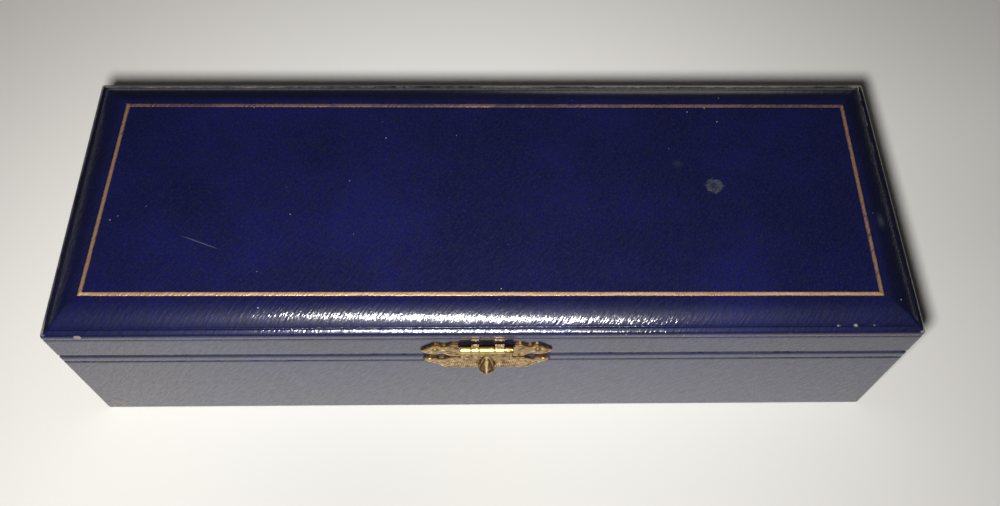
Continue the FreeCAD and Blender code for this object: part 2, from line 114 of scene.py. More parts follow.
# ------------------------------------------------------------------ node helpers
class Mat:
    def __init__(self, name):
        self.m = bpy.data.materials.new(name)
        self.m.use_nodes = True
        self.t = self.m.node_tree
        self.t.nodes.clear()
        self.out = self.t.nodes.new("ShaderNodeOutputMaterial")
        self.b = self.t.nodes.new("ShaderNodeBsdfPrincipled")
        self.t.links.new(self.b.outputs[0], self.out.inputs[0])

    def n(self, kind, **props):
        node = self.t.nodes.new("ShaderNode" + kind)
        for k, v in props.items():
            setattr(node, k, v)
        return node

    def link(self, a, b):
        self.t.links.new(a, b)

    def put(self, socket, value):
        if hasattr(value, "is_output"):
            self.link(value, socket)
        else:
            socket.default_value = value

    def coords(self, kind="Object"):
        return self.n("TexCoord").outputs[kind]

    def uv(self, name):
        return self.n("UVMap", uv_map=name).outputs[0]

    def attr(self, name):
        return self.n("Attribute", attribute_name=name, attribute_type="GEOMETRY").outputs["Fac"]

    def mapping(self, vector, scale=(1, 1, 1), rotation=(0, 0, 0), location=(0, 0, 0)):
        node = self.n("Mapping")
        self.link(vector, node.inputs["Vector"])
        node.inputs["Scale"].default_value = scale
        node.inputs["Rotation"].default_value = rotation
        node.inputs["Location"].default_value = location
        return node.outputs[0]

    def noise(self, vector, scale, detail=3.0, rough=0.5, distortion=0.0):
        node = self.n("TexNoise")
        self.link(vector, node.inputs["Vector"])
        node.inputs["Scale"].default_value = scale
        node.inputs["Detail"].default_value = detail
        node.inputs["Roughness"].default_value = rough
        node.inputs["Distortion"].default_value = distortion
        return node.outputs["Fac"]

    def voronoi(self, vector, scale, feature="F1"):
        node = self.n("TexVoronoi", feature=feature)
        self.link(vector, node.inputs["Vector"])
        node.inputs["Scale"].default_value = scale
        return node.outputs["Distance"]

    def math(self, op, a, b=0.0, clamp=False):
        node = self.n("Math", operation=op, use_clamp=clamp)
        self.put(node.inputs[0], a)
        self.put(node.inputs[1], b)
        return node.outputs[0]

    def remap(self, value, a, b, c=0.0, d=1.0):
        node = self.n("MapRange", interpolation_type="SMOOTHSTEP")
        self.put(node.inputs["Value"], value)
        for k, v in (("From Min", a), ("From Max", b), ("To Min", c), ("To Max", d)):
            node.inputs[k].default_value = v
        return node.outputs["Result"]

    def mix(self, fac, a, b):
        node = self.n("Mix", data_type="RGBA")
        self.put(node.inputs[0], fac)
        for sock, v in ((node.inputs[6], a), (node.inputs[7], b)):
            if hasattr(v, "is_output"):
                self.link(v, sock)
            else:
                sock.default_value = (*v, 1.0)
        return node.outputs[2]

    def bump(self, height, strength, distance, normal=None):
        node = self.n("Bump")
        node.inputs["Strength"].default_value = strength
        node.inputs["Distance"].default_value = distance
        self.link(height, node.inputs["Height"])
        if normal is not None:
            self.link(normal, node.inputs["Normal"])
        return node.outputs[0]

    def set(self, **values):
        for k, v in values.items():
            self.put(self.b.inputs[k.replace("_", " ")], v if not (isinstance(v, tuple) and len(v) == 3) else (*v, 1.0))


# ------------------------------------------------------------------ materials
def leather_material():
    """Straight-grained goatskin: fine parallel ridges on the bias, glossy dye, wear on the edges."""
    m = Mat("navy_leather")
    g = m.uv("Grain")                      # unrolled skin, in millimetres
    o = m.coords()
    turned = m.mapping(g, rotation=(0, 0, math.radians(-54)))
    ridges = m.noise(m.mapping(turned, scale=(0.27, 1.35, 1.0)), 1.0, 3.0, 0.55, 0.15)
    pores = m.noise(m.mapping(turned, scale=(1.2, 4.0, 1.0)), 1.0, 2.0, 0.6)
    large = m.noise(o, 30.0, 4.0, 0.6)
    wear = m.attr("wear")
    # dye: deeper in the valleys, a little uneven over the skin
    dye = m.mix(m.remap(large, 0.34, 0.66), (0.0018, 0.0031, 0.028), (0.0038, 0.0056, 0.062))
    dye = m.mix(m.remap(ridges, 0.34, 0.54, 0.60, 0.0), dye, (0.0014, 0.0018, 0.016))
    dye = m.mix(m.remap(pores, 0.36, 0.54, 0.60, 0.0), dye, (0.0016, 0.0020, 0.020))
    dye = m.mix(m.remap(pores, 0.50, 0.68, 0.0, 0.60), dye, (0.0085, 0.0100, 0.100))
    # painted shade: the shade attribute darkens the dye on the lid's sloping sides and bead, above the catch and on the
    # base rim in the gap under the lid
    dye = m.mix(m.attr("shade"), dye, (0.0010, 0.0019, 0.0095))
    # rubbed places: first grey-blue, then bare tan skin
    rub = m.noise(o, 420.0, 5.0, 0.65)
    scuff = m.remap(m.math("ADD", wear, m.math("MULTIPLY", rub, 0.9)), 0.86, 1.16)
    bare = m.remap(m.math("ADD", wear, m.math("MULTIPLY", rub, 0.8)), 1.14, 1.36)
    colour = m.mix(scuff, dye, (0.215, 0.215, 0.210))
    colour = m.mix(bare, colour, (0.235, 0.175, 0.118))
    # dust caught in the grain
    dust = m.remap(m.voronoi(o, 300.0), 0.055, 0.03)
    dust = m.math("MULTIPLY", dust, m.remap(m.noise(o, 90.0, 2.0), 0.55, 0.62))
    colour = m.mix(m.math("MULTIPLY", dust, 0.8), colour, (0.40, 0.40, 0.42))
    # faint rubs on the lid; on the base, painted grey that stands in for the shaded gap and crease lines
    marks = m.attr("marks")
    colour = m.mix(m.math("MULTIPLY", marks, m.remap(rub, 0.28, 0.52)), colour, (0.048, 0.052, 0.066))
    # a pale ragged spot on the lid, darker in the middle
    spot = m.n("Mapping", vector_type="TEXTURE")
    m.link(o, spot.inputs["Vector"])
    spot.inputs["Location"].default_value = (0.0572, 0.0023, Z_TOP * MM)
    spot.inputs["Scale"].default_value = (0.0024, 0.0024, 0.0040)
    radius = m.n("VectorMath", operation="LENGTH")
    m.link(spot.outputs[0], radius.inputs[0])
    ragged = m.math("ADD", radius.outputs["Value"], m.math("MULTIPLY", m.noise(o, 1300.0, 2.0, 0.6), 1.1))
    pale = m.math("MULTIPLY", m.remap(ragged, 1.52, 1.28), m.remap(radius.outputs["Value"], 0.15, 0.75, 0.45, 0.95))
    pale = m.math("MULTIPLY", pale, m.remap(m.noise(o, 2200.0, 2.0, 0.6), 0.38, 0.60, 0.40, 1.0))
    colour = m.mix(pale, colour, (0.050, 0.054, 0.066))
    # one fine scratch on the lid
    line = m.n("Mapping", vector_type="TEXTURE")
    m.link(o, line.inputs["Vector"])
    line.inputs["Location"].default_value = (-0.0684, -0.0136, Z_TOP * MM)
    line.inputs["Rotation"].default_value = (0, 0, math.radians(-21.6))
    line.inputs["Scale"].default_value = (0.0058, 0.00016, 0.0010)
    local = m.n("SeparateXYZ")
    m.link(line.outputs[0], local.inputs[0])
    scratch = 0.6
    for k in range(3):
        scratch = m.math("MULTIPLY", m.remap(m.math("ABSOLUTE", local.outputs[k]), 1.0, 0.3), scratch)
    colour = m.mix(scratch, colour, (0.11, 0.11, 0.13))
    # a knocked place low on the left of the front, with the brown of the skin showing
    knock = m.n("Mapping", vector_type="TEXTURE")
    m.link(o, knock.inputs["Vector"])
    knock.inputs["Location"].default_value = (-0.0988, -HY * MM, 0.0036)
    knock.inputs["Scale"].default_value = (0.0029, 0.0040, 0.0042)
    reach = m.n("VectorMath", operation="LENGTH")
    m.link(knock.outputs[0], reach.inputs[0])
    torn = m.remap(m.math("ADD", reach.outputs["Value"], m.math("MULTIPLY", rub, 0.8)), 1.36, 1.12)
    torn = m.math("MULTIPLY", torn, m.remap(m.noise(o, 900.0, 3.0, 0.6), 0.40, 0.58, 0.25, 1.0))
    colour = m.mix(torn, colour, (0.105, 0.060, 0.042))
    rough = m.math("ADD", m.remap(ridges, 0.3, 0.62, 0.60, 0.44), m.math("MULTIPLY", scuff, 0.25), clamp=True)
    height = m.math("ADD", m.math("MULTIPLY", ridges, 0.85), m.math("MULTIPLY", pores, 0.22))
    # the skin is drawn flatter on the broad faces than over the shoulder
    height = m.math("MULTIPLY", height, m.remap(m.attr("calm"), 0.0, 1.5, 1.0, 0.25))
    normal = m.bump(height, 0.5, 0.00045)
    m.set(Base_Color=colour, Roughness=rough, IOR=1.5, Normal=normal, Coat_Weight=0.88, Coat_Roughness=0.18, Coat_IOR=1.7)
    m.b.inputs["Specular IOR Level"].default_value = 0.22
    # the polish breaks up on a finer crimp than the dye
    crimp = m.noise(m.mapping(turned, scale=(0.46, 2.3, 1.0)), 1.0, 2.0, 0.55, 0.2)
    polish = m.math("ADD", m.math("MULTIPLY", crimp, 0.75), m.math("MULTIPLY", height, 0.35))
    polish = m.math("MULTIPLY", polish, m.remap(m.attr("calm"), 0.0, 1.5, 1.0, 0.25))
    polish = m.math("ADD", polish, m.math("MULTIPLY", torn, 1.4))
    m.put(m.b.inputs["Coat Normal"], m.bump(polish, 0.46, 0.00045))
    return m.m


def brass_material(name, relief=False, base=(0.60, 0.40, 0.155), tarnish=0.5, shine=(0.20, 0.36)):
    m = Mat(name)
    o = m.coords()
    blotch = m.noise(o, 260.0, 4.0, 0.6)
    fine = m.noise(o, 1500.0, 3.0, 0.6)
    colour = m.mix(m.remap(blotch, 0.35, 0.7), base, (base[0] * 0.72, base[1] * 0.66, base[2] * 0.6))
    if relief:
        # stamped sheet: stippled ground, dark in the hollows, bright where it is rubbed, and bright or dark where a
        # piece's tone paints highlight or shade
        stipple = m.noise(o, 1050.0, 2.0, 0.5)
        tone = m.math("ADD", m.attr("relief"), m.math("MULTIPLY", m.math("SUBTRACT", blotch, 0.5), 0.6))
        tone = m.math("ADD", tone, m.math("MULTIPLY", m.math("SUBTRACT", stipple, 0.5), 2.2))
        deep = m.math("MULTIPLY", m.remap(tone, 0.50, -0.05), 0.97)
        colour = m.mix(deep, colour, (0.110, 0.052, 0.006))
        colour = m.mix(m.remap(tone, 0.72, 1.05, 0.0, 0.9), colour, (0.88, 0.68, 0.33))
        # tone below zero is painted shadow, near black
        colour = m.mix(m.remap(m.attr("relief"), -0.15, -0.6), colour, (0.014, 0.011, 0.014))
        rough = m.math("ADD", m.remap(fine, 0.3, 0.7, 0.30, 0.46), m.math("MULTIPLY", deep, 0.2), clamp=True)
        normal = m.bump(stipple, 1.0, 0.00034)
    else:
        spots = m.remap(m.noise(o, 900.0, 3.0, 0.7), 0.6, 0.72, 0.0, tarnish)
        colour = m.mix(spots, colour, (0.16, 0.09, 0.035))
        rough = m.remap(fine, 0.3, 0.7, *shine)
        normal = m.bump(fine, 0.25, 0.00004)
    m.set(Base_Color=colour, Metallic=1.0, Roughness=rough, Normal=normal)
    return m.m


def gilt_material():
    """Gold leaf pressed into the grain: broken by the skin's ridges and worn to bare leather at its edges, with painted
    shade darkening its edges and its side and back lines.
    """
    m = Mat("gilt_line")
    o = m.coords()
    bias = m.mapping(m.mapping(o, rotation=(0, 0, math.radians(-54))), scale=(520.0, 1700.0, 1.0))
    grain = m.noise(bias, 1.0, 3.0, 0.55)
    worn = m.noise(o, 120.0, 3.0, 0.6)
    keep = m.attr("keep")                  # 1 along the middle of the line, 0 at its edges, lower on the side and back lines: wear together with painted light and shade
    held = m.math("ADD", m.math("MULTIPLY", grain, 0.45), m.math("MULTIPLY", worn, 0.55))
    held = m.math("ADD", held, 0.15)
    held = m.math("ADD", held, m.math("MULTIPLY", keep, 0.34))
    gone = m.remap(held, 0.86, 0.62)
    colour = m.mix(m.remap(worn, 0.3, 0.7), (0.80, 0.52, 0.30), (0.58, 0.34, 0.18))
    # painted shade: darker brown towards the edges of the line and along the side and back lines
    colour = m.mix(m.math("MULTIPLY", m.remap(keep, 0.7, 0.0), 0.85), colour, (0.20, 0.10, 0.06))
    colour = m.mix(m.math("MULTIPLY", gone, 0.92), colour, (0.032, 0.020, 0.030))
    rough = m.remap(grain, 0.3, 0.7, 0.55, 0.36)
    metal = m.remap(gone, 0.0, 1.0, 0.65, 0.1)
    m.set(Base_Color=colour, Metallic=metal, Roughness=rough, Normal=m.bump(grain, 0.5, 0.00045))
    return m.m


def velvet_material():
    m = Mat("blue_velvet")
    o = m.coords()
    pile = m.noise(o, 2600.0, 2.0, 0.7)
    nap = m.noise(o, 60.0, 4.0, 0.6, 0.6)
    colour = m.mix(m.remap(nap, 0.3, 0.7), (0.010, 0.013, 0.072), (0.024, 0.030, 0.125))
    colour = m.mix(m.remap(pile, 0.35, 0.7, 0.0, 0.5), colour, (0.004, 0.005, 0.030))
    m.set(Base_Color=colour, Roughness=0.92, Sheen_Weight=0.75, Sheen_Roughness=0.35, Sheen_Tint=(0.28, 0.34, 0.80),
          Normal=m.bump(pile, 0.55, 0.00018))
    m.b.inputs["Specular IOR Level"].default_value = 0.15
    return m.m


def satin_material():
    m = Mat("ivory_satin")
    o = m.coords()
    thread = m.noise(m.mapping(o, scale=(320.0, 5200.0, 1200.0)), 1.0, 2.0, 0.6)
    age = m.noise(o, 24.0, 4.0, 0.6)
    colour = m.mix(m.remap(age, 0.35, 0.75), (0.74, 0.66, 0.50), (0.60, 0.50, 0.34))
    colour = m.mix(m.remap(thread, 0.35, 0.65, 0.18, 0.0), colour, (0.40, 0.33, 0.22))
    m.set(Base_Color=colour, Roughness=m.remap(thread, 0.3, 0.7, 0.34, 0.48), Anisotropic=0.6, Sheen_Weight=0.2,
          Normal=m.bump(thread, 0.25, 0.00006))
    return m.m


def wood_material():
    m = Mat("case_wood")
    o = m.coords()
    ring = m.noise(m.mapping(o, scale=(12.0, 220.0, 220.0)), 1.0, 5.0, 0.55, 0.8)
    pore = m.noise(m.mapping(o, scale=(90.0, 2600.0, 2600.0)), 1.0, 2.0, 0.6)
    colour = m.mix(m.remap(ring, 0.3, 0.7), (0.40, 0.25, 0.135), (0.25, 0.145, 0.07))
    colour = m.mix(m.remap(pore, 0.62, 0.75, 0.0, 0.5), colour, (0.12, 0.065, 0.03))
    m.set(Base_Color=colour, Roughness=m.remap(pore, 0.3, 0.7, 0.5, 0.7), Normal=m.bump(pore, 0.3, 0.00008))
    return m.m


def paper_material():
    m = Mat("sole_paper")
    o = m.coords()
    fibre = m.noise(m.mapping(o, scale=(900.0, 900.0, 900.0)), 1.0, 5.0, 0.7)
    stain = m.noise(o, 45.0, 4.0, 0.6)
    rubbed = m.remap(m.noise(o, 160.0, 5.0, 0.7), 0.58, 0.74, 0.0, 0.6)
    colour = m.mix(m.remap(stain, 0.3, 0.7), (0.018, 0.018, 0.036), (0.034, 0.033, 0.055))
    colour = m.mix(rubbed, colour, (0.11, 0.10, 0.095))
    m.set(Base_Color=colour, Roughness=0.85, Normal=m.bump(fibre, 0.4, 0.00008))
    return m.m


def wadding_material():
    m = Mat("wadding")
    o = m.coords()
    f = m.noise(o, 700.0, 5.0, 0.7)
    m.set(Base_Color=m.mix(f, (0.62, 0.58, 0.50), (0.80, 0.77, 0.70)), Roughness=0.95, Normal=m.bump(f, 0.6, 0.0003))
    return m.m


def floor_material():
    m = Mat("pale_table")
    o = m.coords()
    cloud = m.noise(o, 7.0, 4.0, 0.6)
    fine = m.noise(o, 900.0, 3.0, 0.6)
    xyz = m.n("SeparateXYZ")
    m.link(o, xyz.inputs[0])
    # painted light and shade on the table: darker under the key lamp, lighter away from it
    dx = m.math("MULTIPLY", m.math("ADD", xyz.outputs[0], 0.02), 0.75)
    dy = m.math("ADD", xyz.outputs[1], 0.12)
    lamp_reach = m.math("SQRT", m.math("ADD", m.math("MULTIPLY", dx, dx), m.math("MULTIPLY", dy, dy)))
    colour = m.mix(m.remap(lamp_reach, 0.02, 0.20), (0.480, 0.478, 0.466), (0.965, 0.955, 0.93))
    # painted shade towards the right of the table, less towards the back
    right = m.math("MULTIPLY", m.remap(xyz.outputs[0], 0.0, 0.16, 0.0, 0.36), m.remap(xyz.outputs[1], 0.01, 0.07, 1.0, 0.45))
    colour = m.mix(right, colour, (0.40, 0.392, 0.376))
    # painted light towards the left of the table
    colour = m.mix(m.remap(xyz.outputs[0], -0.02, -0.17, 0.0, 0.75), colour, (0.985, 0.965, 0.94))
    m.set(Base_Color=m.mix(m.math("MULTIPLY", cloud, 0.05), colour, (0.62, 0.60, 0.57)), Roughness=0.62, Normal=m.bump(fine, 0.05, 0.0001))
    return m.m


LEATHER = leather_material()
BRASS = brass_material("aged_brass")
RELIEF = brass_material("stamped_brass", relief=True, base=(0.48, 0.335, 0.165))
RUBBED = brass_material("rubbed_brass", base=(0.74, 0.58, 0.23), tarnish=0.3, shine=(0.42, 0.54))
DULL = brass_material("dull_brass", base=(0.36, 0.25, 0.12), tarnish=0.6, shine=(0.45, 0.60))
GILT = gilt_material()
VELVET = velvet_material()
SATIN = satin_material()
WOOD = wood_material()
PAPER = paper_material()
WADDING = wadding_material()

# ------------------------------------------------------------------ leather covers
end_cols = []
for c in (-HINGE_X, HINGE_X):
    for e in (-HINGE_HALF, HINGE_HALF):
        end_cols += [c + e - 0.03, c + e + 0.03]
near_corner = [0.15, 0.35, 0.6, 0.9, 1.25, 1.7, 2.3, 3.0, 3.8]


def stations(half, step, extra=()):
    inner = half - 4.6
    n = int(round(2 * inner / step))
    vals = list(np.linspace(-inner, inner, n + 1)) + list(extra)
    vals += [half] + [half - c for c in near_corner] + [-half] + [-half + c for c in near_corner]
    vals = np.array(sorted(vals))
    keep = [vals[0]]
    for v in vals[1:]:
        if v - keep[-1] > 0.045:
            keep.append(v)
    keep[-1] = half
    return np.array(keep)


XS, YS = stations(HX, 0.85, end_cols), stations(HY, 0.85)
NX, NY = len(XS), len(YS)


def comp(u, half, d):
    """Position along a side on the loop that lies d in from the edge: only the ends close up."""
    c = half - MARGIN
    a = np.abs(u)
    return np.where(a <= c, u, np.sign(u) * (c + (a - c) * (MARGIN - d) / MARGIN))


SIDE = np.array([0] * (NX - 1) + [1] * (NY - 1) + [2] * (NX - 1) + [3] * (NY - 1))   # front, right, back, left
PU = np.concatenate([XS[:-1], YS[:-1], XS[::-1][:-1], YS[::-1][:-1]])
NP = len(PU)


def loop_xy(d, radius):
    x, y = np.zeros(NP), np.zeros(NP)
    for s in range(4):
        k = SIDE == s
        if s in (0, 2):
            x[k] = comp(PU[k], HX, d)
            y[k] = (HY - d) * (-1 if s == 0 else 1)
        else:
            y[k] = comp(PU[k], HY, d)
            x[k] = (HX - d) * (1 if s == 1 else -1)
    if radius > 1e-6:
        cx, cy = HX - d - radius, HY - d - radius
        k = (np.abs(x) > cx) & (np.abs(y) > cy)
        vx, vy = np.abs(x[k]) - cx, np.abs(y[k]) - cy
        ln = np.hypot(vx, vy)
        m = np.maximum(vx, vy)
        x[k] = np.sign(x[k]) * (cx + vx / ln * m)
        y[k] = np.sign(y[k]) * (cy + vy / ln * m)
    return x, y


def gilt_shift(x, y):
    """Bilinear shift that carries the true rectangle onto the slightly crooked tooled one."""
    nx, ny = HX - GILT_IN, HY - GILT_IN
    a, b = np.clip(x / nx, -1, 1), np.clip(y / ny, -1, 1)
    sx, sy = np.zeros_like(x), np.zeros_like(y)
    for (i, j), (gx, gy) in GILT_CORNERS.items():
        w = (1 + i * a) * (1 + j * b) / 4
        sx += w * (gx - i * nx)
        sy += w * (gy - j * ny)
    return sx, sy


def bevel_plane(upper, offset):
    s, c = math.sin(BEVEL), math.cos(BEVEL)
    n = np.array([s, c if not upper else -c])
    return n, np.array([AX_Y, AX_Z]) - n * offset


def cover(name, section, radius_of, upper, grid, wear_of, marks_of):
    """Sweeps a section of (inset, height, inner?) round the case.  grid closes the top of the lid."""
    rings = []
    for d, z, inner in section:
        x, y = loop_xy(d, radius_of(d, z))
        if upper and not inner:
            w = float(smoothstep(2.6, 7.9, d)) if z > 45 else 0.0
            sx, sy = gilt_shift(x, y)
            x, y = x + w * sx, y + w * sy
        rings.append(np.stack([x, y, np.full(NP, z)], 1))
    V = np.array(rings)                                    # section, perimeter, xyz
    # back bevel
    for i, (d, z, inner) in enumerate(section):
        n, p0 = bevel_plane(upper, GAP + (0.7 if inner else 0.0))
        dist = (V[i, :, 1] - p0[0]) * n[0] + (V[i, :, 2] - p0[1]) * n[1]
        k = dist > 0
        V[i, k, 1] -= dist[k] * n[0]
        V[i, k, 2] -= dist[k] * n[1]
    # hinge pockets: the run of section points inside the pocket follows its round
    for j in np.where(SIDE == 2)[0]:
        if abs(abs(PU[j]) - HINGE_X) > HINGE_HALF:
            continue
        for inner in (False, True):
            if inner:
                continue
            idx = [i for i, s in enumerate(section) if bool(s[2]) == inner]
            r = np.hypot(V[idx, j, 1] - AX_Y, V[idx, j, 2] - AX_Z)
            hit = [i for i, q in zip(idx, r) if q < R_POCKET]
            if len(hit) < 2:
                continue
            order = sorted(hit)
            lip, bev = math.pi, (51.0 if upper else -51.0) * math.pi / 180
            if not upper:
                lip = -math.pi
            first_is_lip = V[order[0], j, 1] < V[order[-1], j, 1]
            a0, a1 = (lip, bev) if first_is_lip else (bev, lip)
            for t, i in zip(np.linspace(0, 1, len(order)), order):
                a = a0 + (a1 - a0) * t
                V[i, j, 1] = AX_Y + R_POCKET * math.cos(a)
                V[i, j, 2] = AX_Z + R_POCKET * math.sin(a)
    ns = len(section)
    verts = V.reshape(-1, 3)
    faces, uvs = [], []
    # unrolled distance from the middle of the lid, or from the rim of the base, for the grain
    dz = np.array([(a[0], a[1]) for a in section])
    arc = np.concatenate([[0], np.cumsum(np.hypot(np.diff(dz[:, 0]), np.diff(dz[:, 1])))])
    for i in range(ns - 1 if grid else ns):
        i2 = (i + 1) % ns
        for j in range(NP):
            j2 = (j + 1) % NP
            faces.append((i * NP + j, i * NP + j2, i2 * NP + j2, i2 * NP + j))
            s = SIDE[j]
            quad = []
            for ii, jj in ((i, j), (i, j2), (i2, j2), (i2, j)):
                u = V[ii, jj, 0] if s in (0, 2) else V[ii, jj, 1]
                half = HY if s in (0, 2) else HX
                a = arc[ii] if ii or i < ns - 1 else arc[-1] + 1
                v = (half - section[0][0] + a) if grid else (half + a)
                quad.append({0: (u, -v), 1: (v, u), 2: (u, v), 3: (-v, u)}[s])
            uvs += quad
    if grid:
        gx, gy = comp(XS, HX, section[0][0]), comp(YS, HY, section[0][0])
        X, Y = np.meshgrid(gx, gy)
        sx, sy = gilt_shift(X.ravel(), Y.ravel())
        X, Y = X.ravel() + sx, Y.ravel() + sy
        inside = np.minimum(HX - 11.0 - np.abs(X), HY - 11.0 - np.abs(Y))
        wave = vnoise(np.stack([X, Y, 0 * X], 1), 0.045, 3.1) * 0.10 + vnoise(np.stack([X, Y, 0 * X], 1), 0.16, 7.7) * 0.025
        Z = np.full(len(X), section[0][1]) - np.abs(wave) * smoothstep(0.0, 9.0, inside)
        base = len(verts)
        ring_of = {}
        for j in range(NP):
            s, u = SIDE[j], PU[j]
            if s == 0:
                ring_of[(int(np.argmin(np.abs(XS - u))), 0)] = j
            elif s == 1:
                ring_of[(NX - 1, int(np.argmin(np.abs(YS - u))))] = j
            elif s == 2:
                ring_of[(int(np.argmin(np.abs(XS - u))), NY - 1)] = j
            else:
                ring_of[(0, int(np.argmin(np.abs(YS - u))))] = j
        index = np.zeros((NX, NY), int)
        extra = []
        for a in range(NX):
            for b in range(NY):
                if (a, b) in ring_of:
                    index[a, b] = ring_of[(a, b)]
                else:
                    k = b * NX + a
                    index[a, b] = base + len(extra)
                    extra.append((X[k], Y[k], Z[k]))
        verts = np.vstack([verts, extra])
        for a in range(NX - 1):
            for b in range(NY - 1):
                f = (index[a, b], index[a + 1, b], index[a + 1, b + 1], index[a, b + 1])
                faces.append(f)
                uvs += [tuple(verts[q][:2]) for q in f]
        faces.append(tuple((ns - 1) * NP + j for j in range(NP)))
        uvs += [tuple(verts[(ns - 1) * NP + j][:2]) for j in range(NP)]
    me = bpy.data.meshes.new(name)
    me.from_pydata([tuple(v) for v in verts * MM], [], faces)
    layer = me.uv_layers.new(name="Grain")
    layer.data.foreach_set("uv", np.asarray(uvs, np.float32).ravel())
    bm = bmesh.new()
    bm.from_mesh(me)
    bmesh.ops.recalc_face_normals(bm, faces=bm.faces)
    bm.to_mesh(me)
    bm.free()
    me.polygons.foreach_set("use_smooth", [True] * len(me.polygons))
    me.materials.append(LEATHER)
    ob = bpy.data.objects.new(name, me)
    bpy.context.scene.collection.objects.link(ob)
    point_attribute(ob, "wear", wear_of(verts))
    point_attribute(ob, "marks", marks_of(verts))
    # calm: flat faces; shade: painted shade, darker on the sloping sides and bead, above the catch and on the rim under
    # the lid
    x, y, z = verts.T
    inset = np.minimum(HX - np.abs(x), HY - np.abs(y))
    ends = (HX - np.abs(x)) < (HY - np.abs(y))
    if upper:
        calm = np.where(z > 45.2, smoothstep(6.6, 8.6, inset), 1.0)
        # along the front the grain stands up most near the middle, where hands open the lid
        calm = np.maximum(calm, smoothstep(-HY + 15.0, -HY + 8.0, y) * smoothstep(22.0, 66.0, np.abs(x + 3.0)))
        calm = np.maximum(calm, 1.5 * smoothstep(HY - 15.0, HY - 8.0, y))
        # painted shade by side: most on the back and right, less on the left, least on the front, darkest on the bead
        # at the ends and back
        side = np.where(ends, np.where(x < 0, 0.45, 0.72), np.where(y > 0, 0.75, 0.10))
        side = np.where((inset < 2.0) & (side > 0.2), 0.92, side)
        shade = side * np.where(z > 43.0, smoothstep(8.6, 6.2, inset), 0.0)
        # painted shade above the barrels of the catch, for their dark reflection in the glossy skin
        above = smoothstep(6.6, 5.4, np.abs(x)) * smoothstep(41.7, 42.2, z) * smoothstep(44.2, 43.4, z) * (y < -HY + 0.3)
        shade = np.maximum(shade, 0.85 * above)
    else:
        calm = np.ones(len(x))
        # painted shade on the rim of the base, in the gap under the lid
        shade = np.where((z > 34.6) & (inset < 2.0), 0.25, 0.0)
    point_attribute(ob, "calm", calm)
    point_attribute(ob, "shade", shade)
    return ob


def lid_section():
    F = Z_TOP
    s = [(11.0, F), (10.4, F), (9.83, F), (9.77, F), (9.745, F - 0.19), (8.555, F - 0.19), (8.53, F), (8.47, F), (7.9, F)]
    drop = Z_TOP - Z_EDGE
    R = (5.6 ** 2 + drop ** 2) / (2 * drop)
    for d in (7.5, 7.1, 6.7, 6.3, 5.9, 5.5, 5.1, 4.7, 4.3, 3.95, 3.6, 3.3, 3.0, 2.75, 2.5, 2.28, 2.1, 1.98):
        s.append((d, F - R + math.sqrt(R * R - (7.5 - d) ** 2)))
    # crease, bead along the edge, and the shallow crease where the edge strip is turned down
    s += [(1.88, 46.70), (1.80, 46.60), (1.72, 46.55), (1.63, 46.57), (1.54, 46.63), (1.42, 46.665), (1.28, 46.64), (1.13, 46.585), (0.98, 46.52), (0.83, 46.45),
          (0.68, 46.375), (0.53, 46.285), (0.39, 46.17), (0.26, 46.02), (0.15, 45.83), (0.06, 45.60), (0.015, 45.35), (0.0, 45.1), (0.0, 44.75), (0.02, 44.55), (0.08, 44.38),
          (0.14, 44.27), (0.14, 44.17), (0.08, 44.05), (0.02, 43.88), (0.0, 43.7)]
    s += [(0.0, z) for z in (42.7, 41.6, 40.5, 39.4, 38.3, 37.4, 36.7, 36.2, 35.9)]
    # the lower edge is turned in, which leaves a shadow line over the rim of the base
    s += [(0.02, 35.82), (0.10, 35.77), (0.34, 35.73), (0.50, 35.68), (0.56, 35.58), (0.58, 35.38), (0.62, 35.2), (0.70, 35.11), (0.8, 35.1), (1.0, 35.1), (1.2, 35.1), (1.4, 35.1), (1.6, 35.1), (1.8, 35.1), (2.0, 35.1), (2.2, 35.1), (2.5, 35.1), (2.8, 35.1), (3.1, 35.1), (3.4, 35.1), (3.7, 35.1), (3.9, 35.13)]
    s += [(4.02, 35.25), (4.06, 35.5), (4.06, 37.0), (4.06, 38.5), (4.02, 38.68), (3.95, 38.72)]
    out = [(d, z, False) for d, z in s]
    inner = [(3.905, 38.72), (3.905, 35.82), (2.4, 35.82), (0.72, 35.82), (0.72, 46.03), (2.6, 46.06), (3.2, 46.62), (4.0, 47.2), (5.4, 47.8), (7.3, 48.13), (8.4, 48.16)]
    return out + [(d, z, True) for d, z in inner]


def base_section():
    s = [(4.3, 34.69), (3.9, 34.7), (3.6, 34.7), (3.3, 34.7), (3.0, 34.7), (2.7, 34.7), (2.4, 34.7), (2.1, 34.7), (1.8, 34.7), (1.5, 34.7), (1.2, 34.7), (0.9, 34.7), (0.6, 34.7), (0.45, 34.7), (0.33, 34.7), (0.31, 34.68), (0.15, 34.42),
         (0.0, 34.15), (0.0, 33.4), (0.0, 32.6), (0.0, 32.3), (0.02, 32.16), (0.13, 32.0), (0.34, 31.88), (0.36, 31.66), (0.14, 31.52), (0.02, 31.35), (0.0, 31.15)]
    s += [(0.0, z) for z in (30.3, 28.8, 27.0, 24.5, 22.0, 19.5, 17.0, 14.5, 12.0, 9.5, 7.0, 5.0, 3.2, 2.0, 1.2, 0.8)]
    s += [(0.01, 0.5), (0.05, 0.27), (0.14, 0.11), (0.3, 0.02), (0.55, 0.0), (1.1, 0.0), (2.5, 0.0), (5.0, 0.0), (7.5, 0.0), (9.6, 0.0), (9.95, 0.04)]
    out = [(d, z, False) for d, z in s]
    inner = [(10.0, 0.66), (6.0, 0.69), (0.72, 0.69), (0.72, 10.0), (0.72, 22.0), (0.72, 33.98), (2.4, 33.98), (4.3, 33.98)]
    return out + [(d, z, True) for d, z in inner]


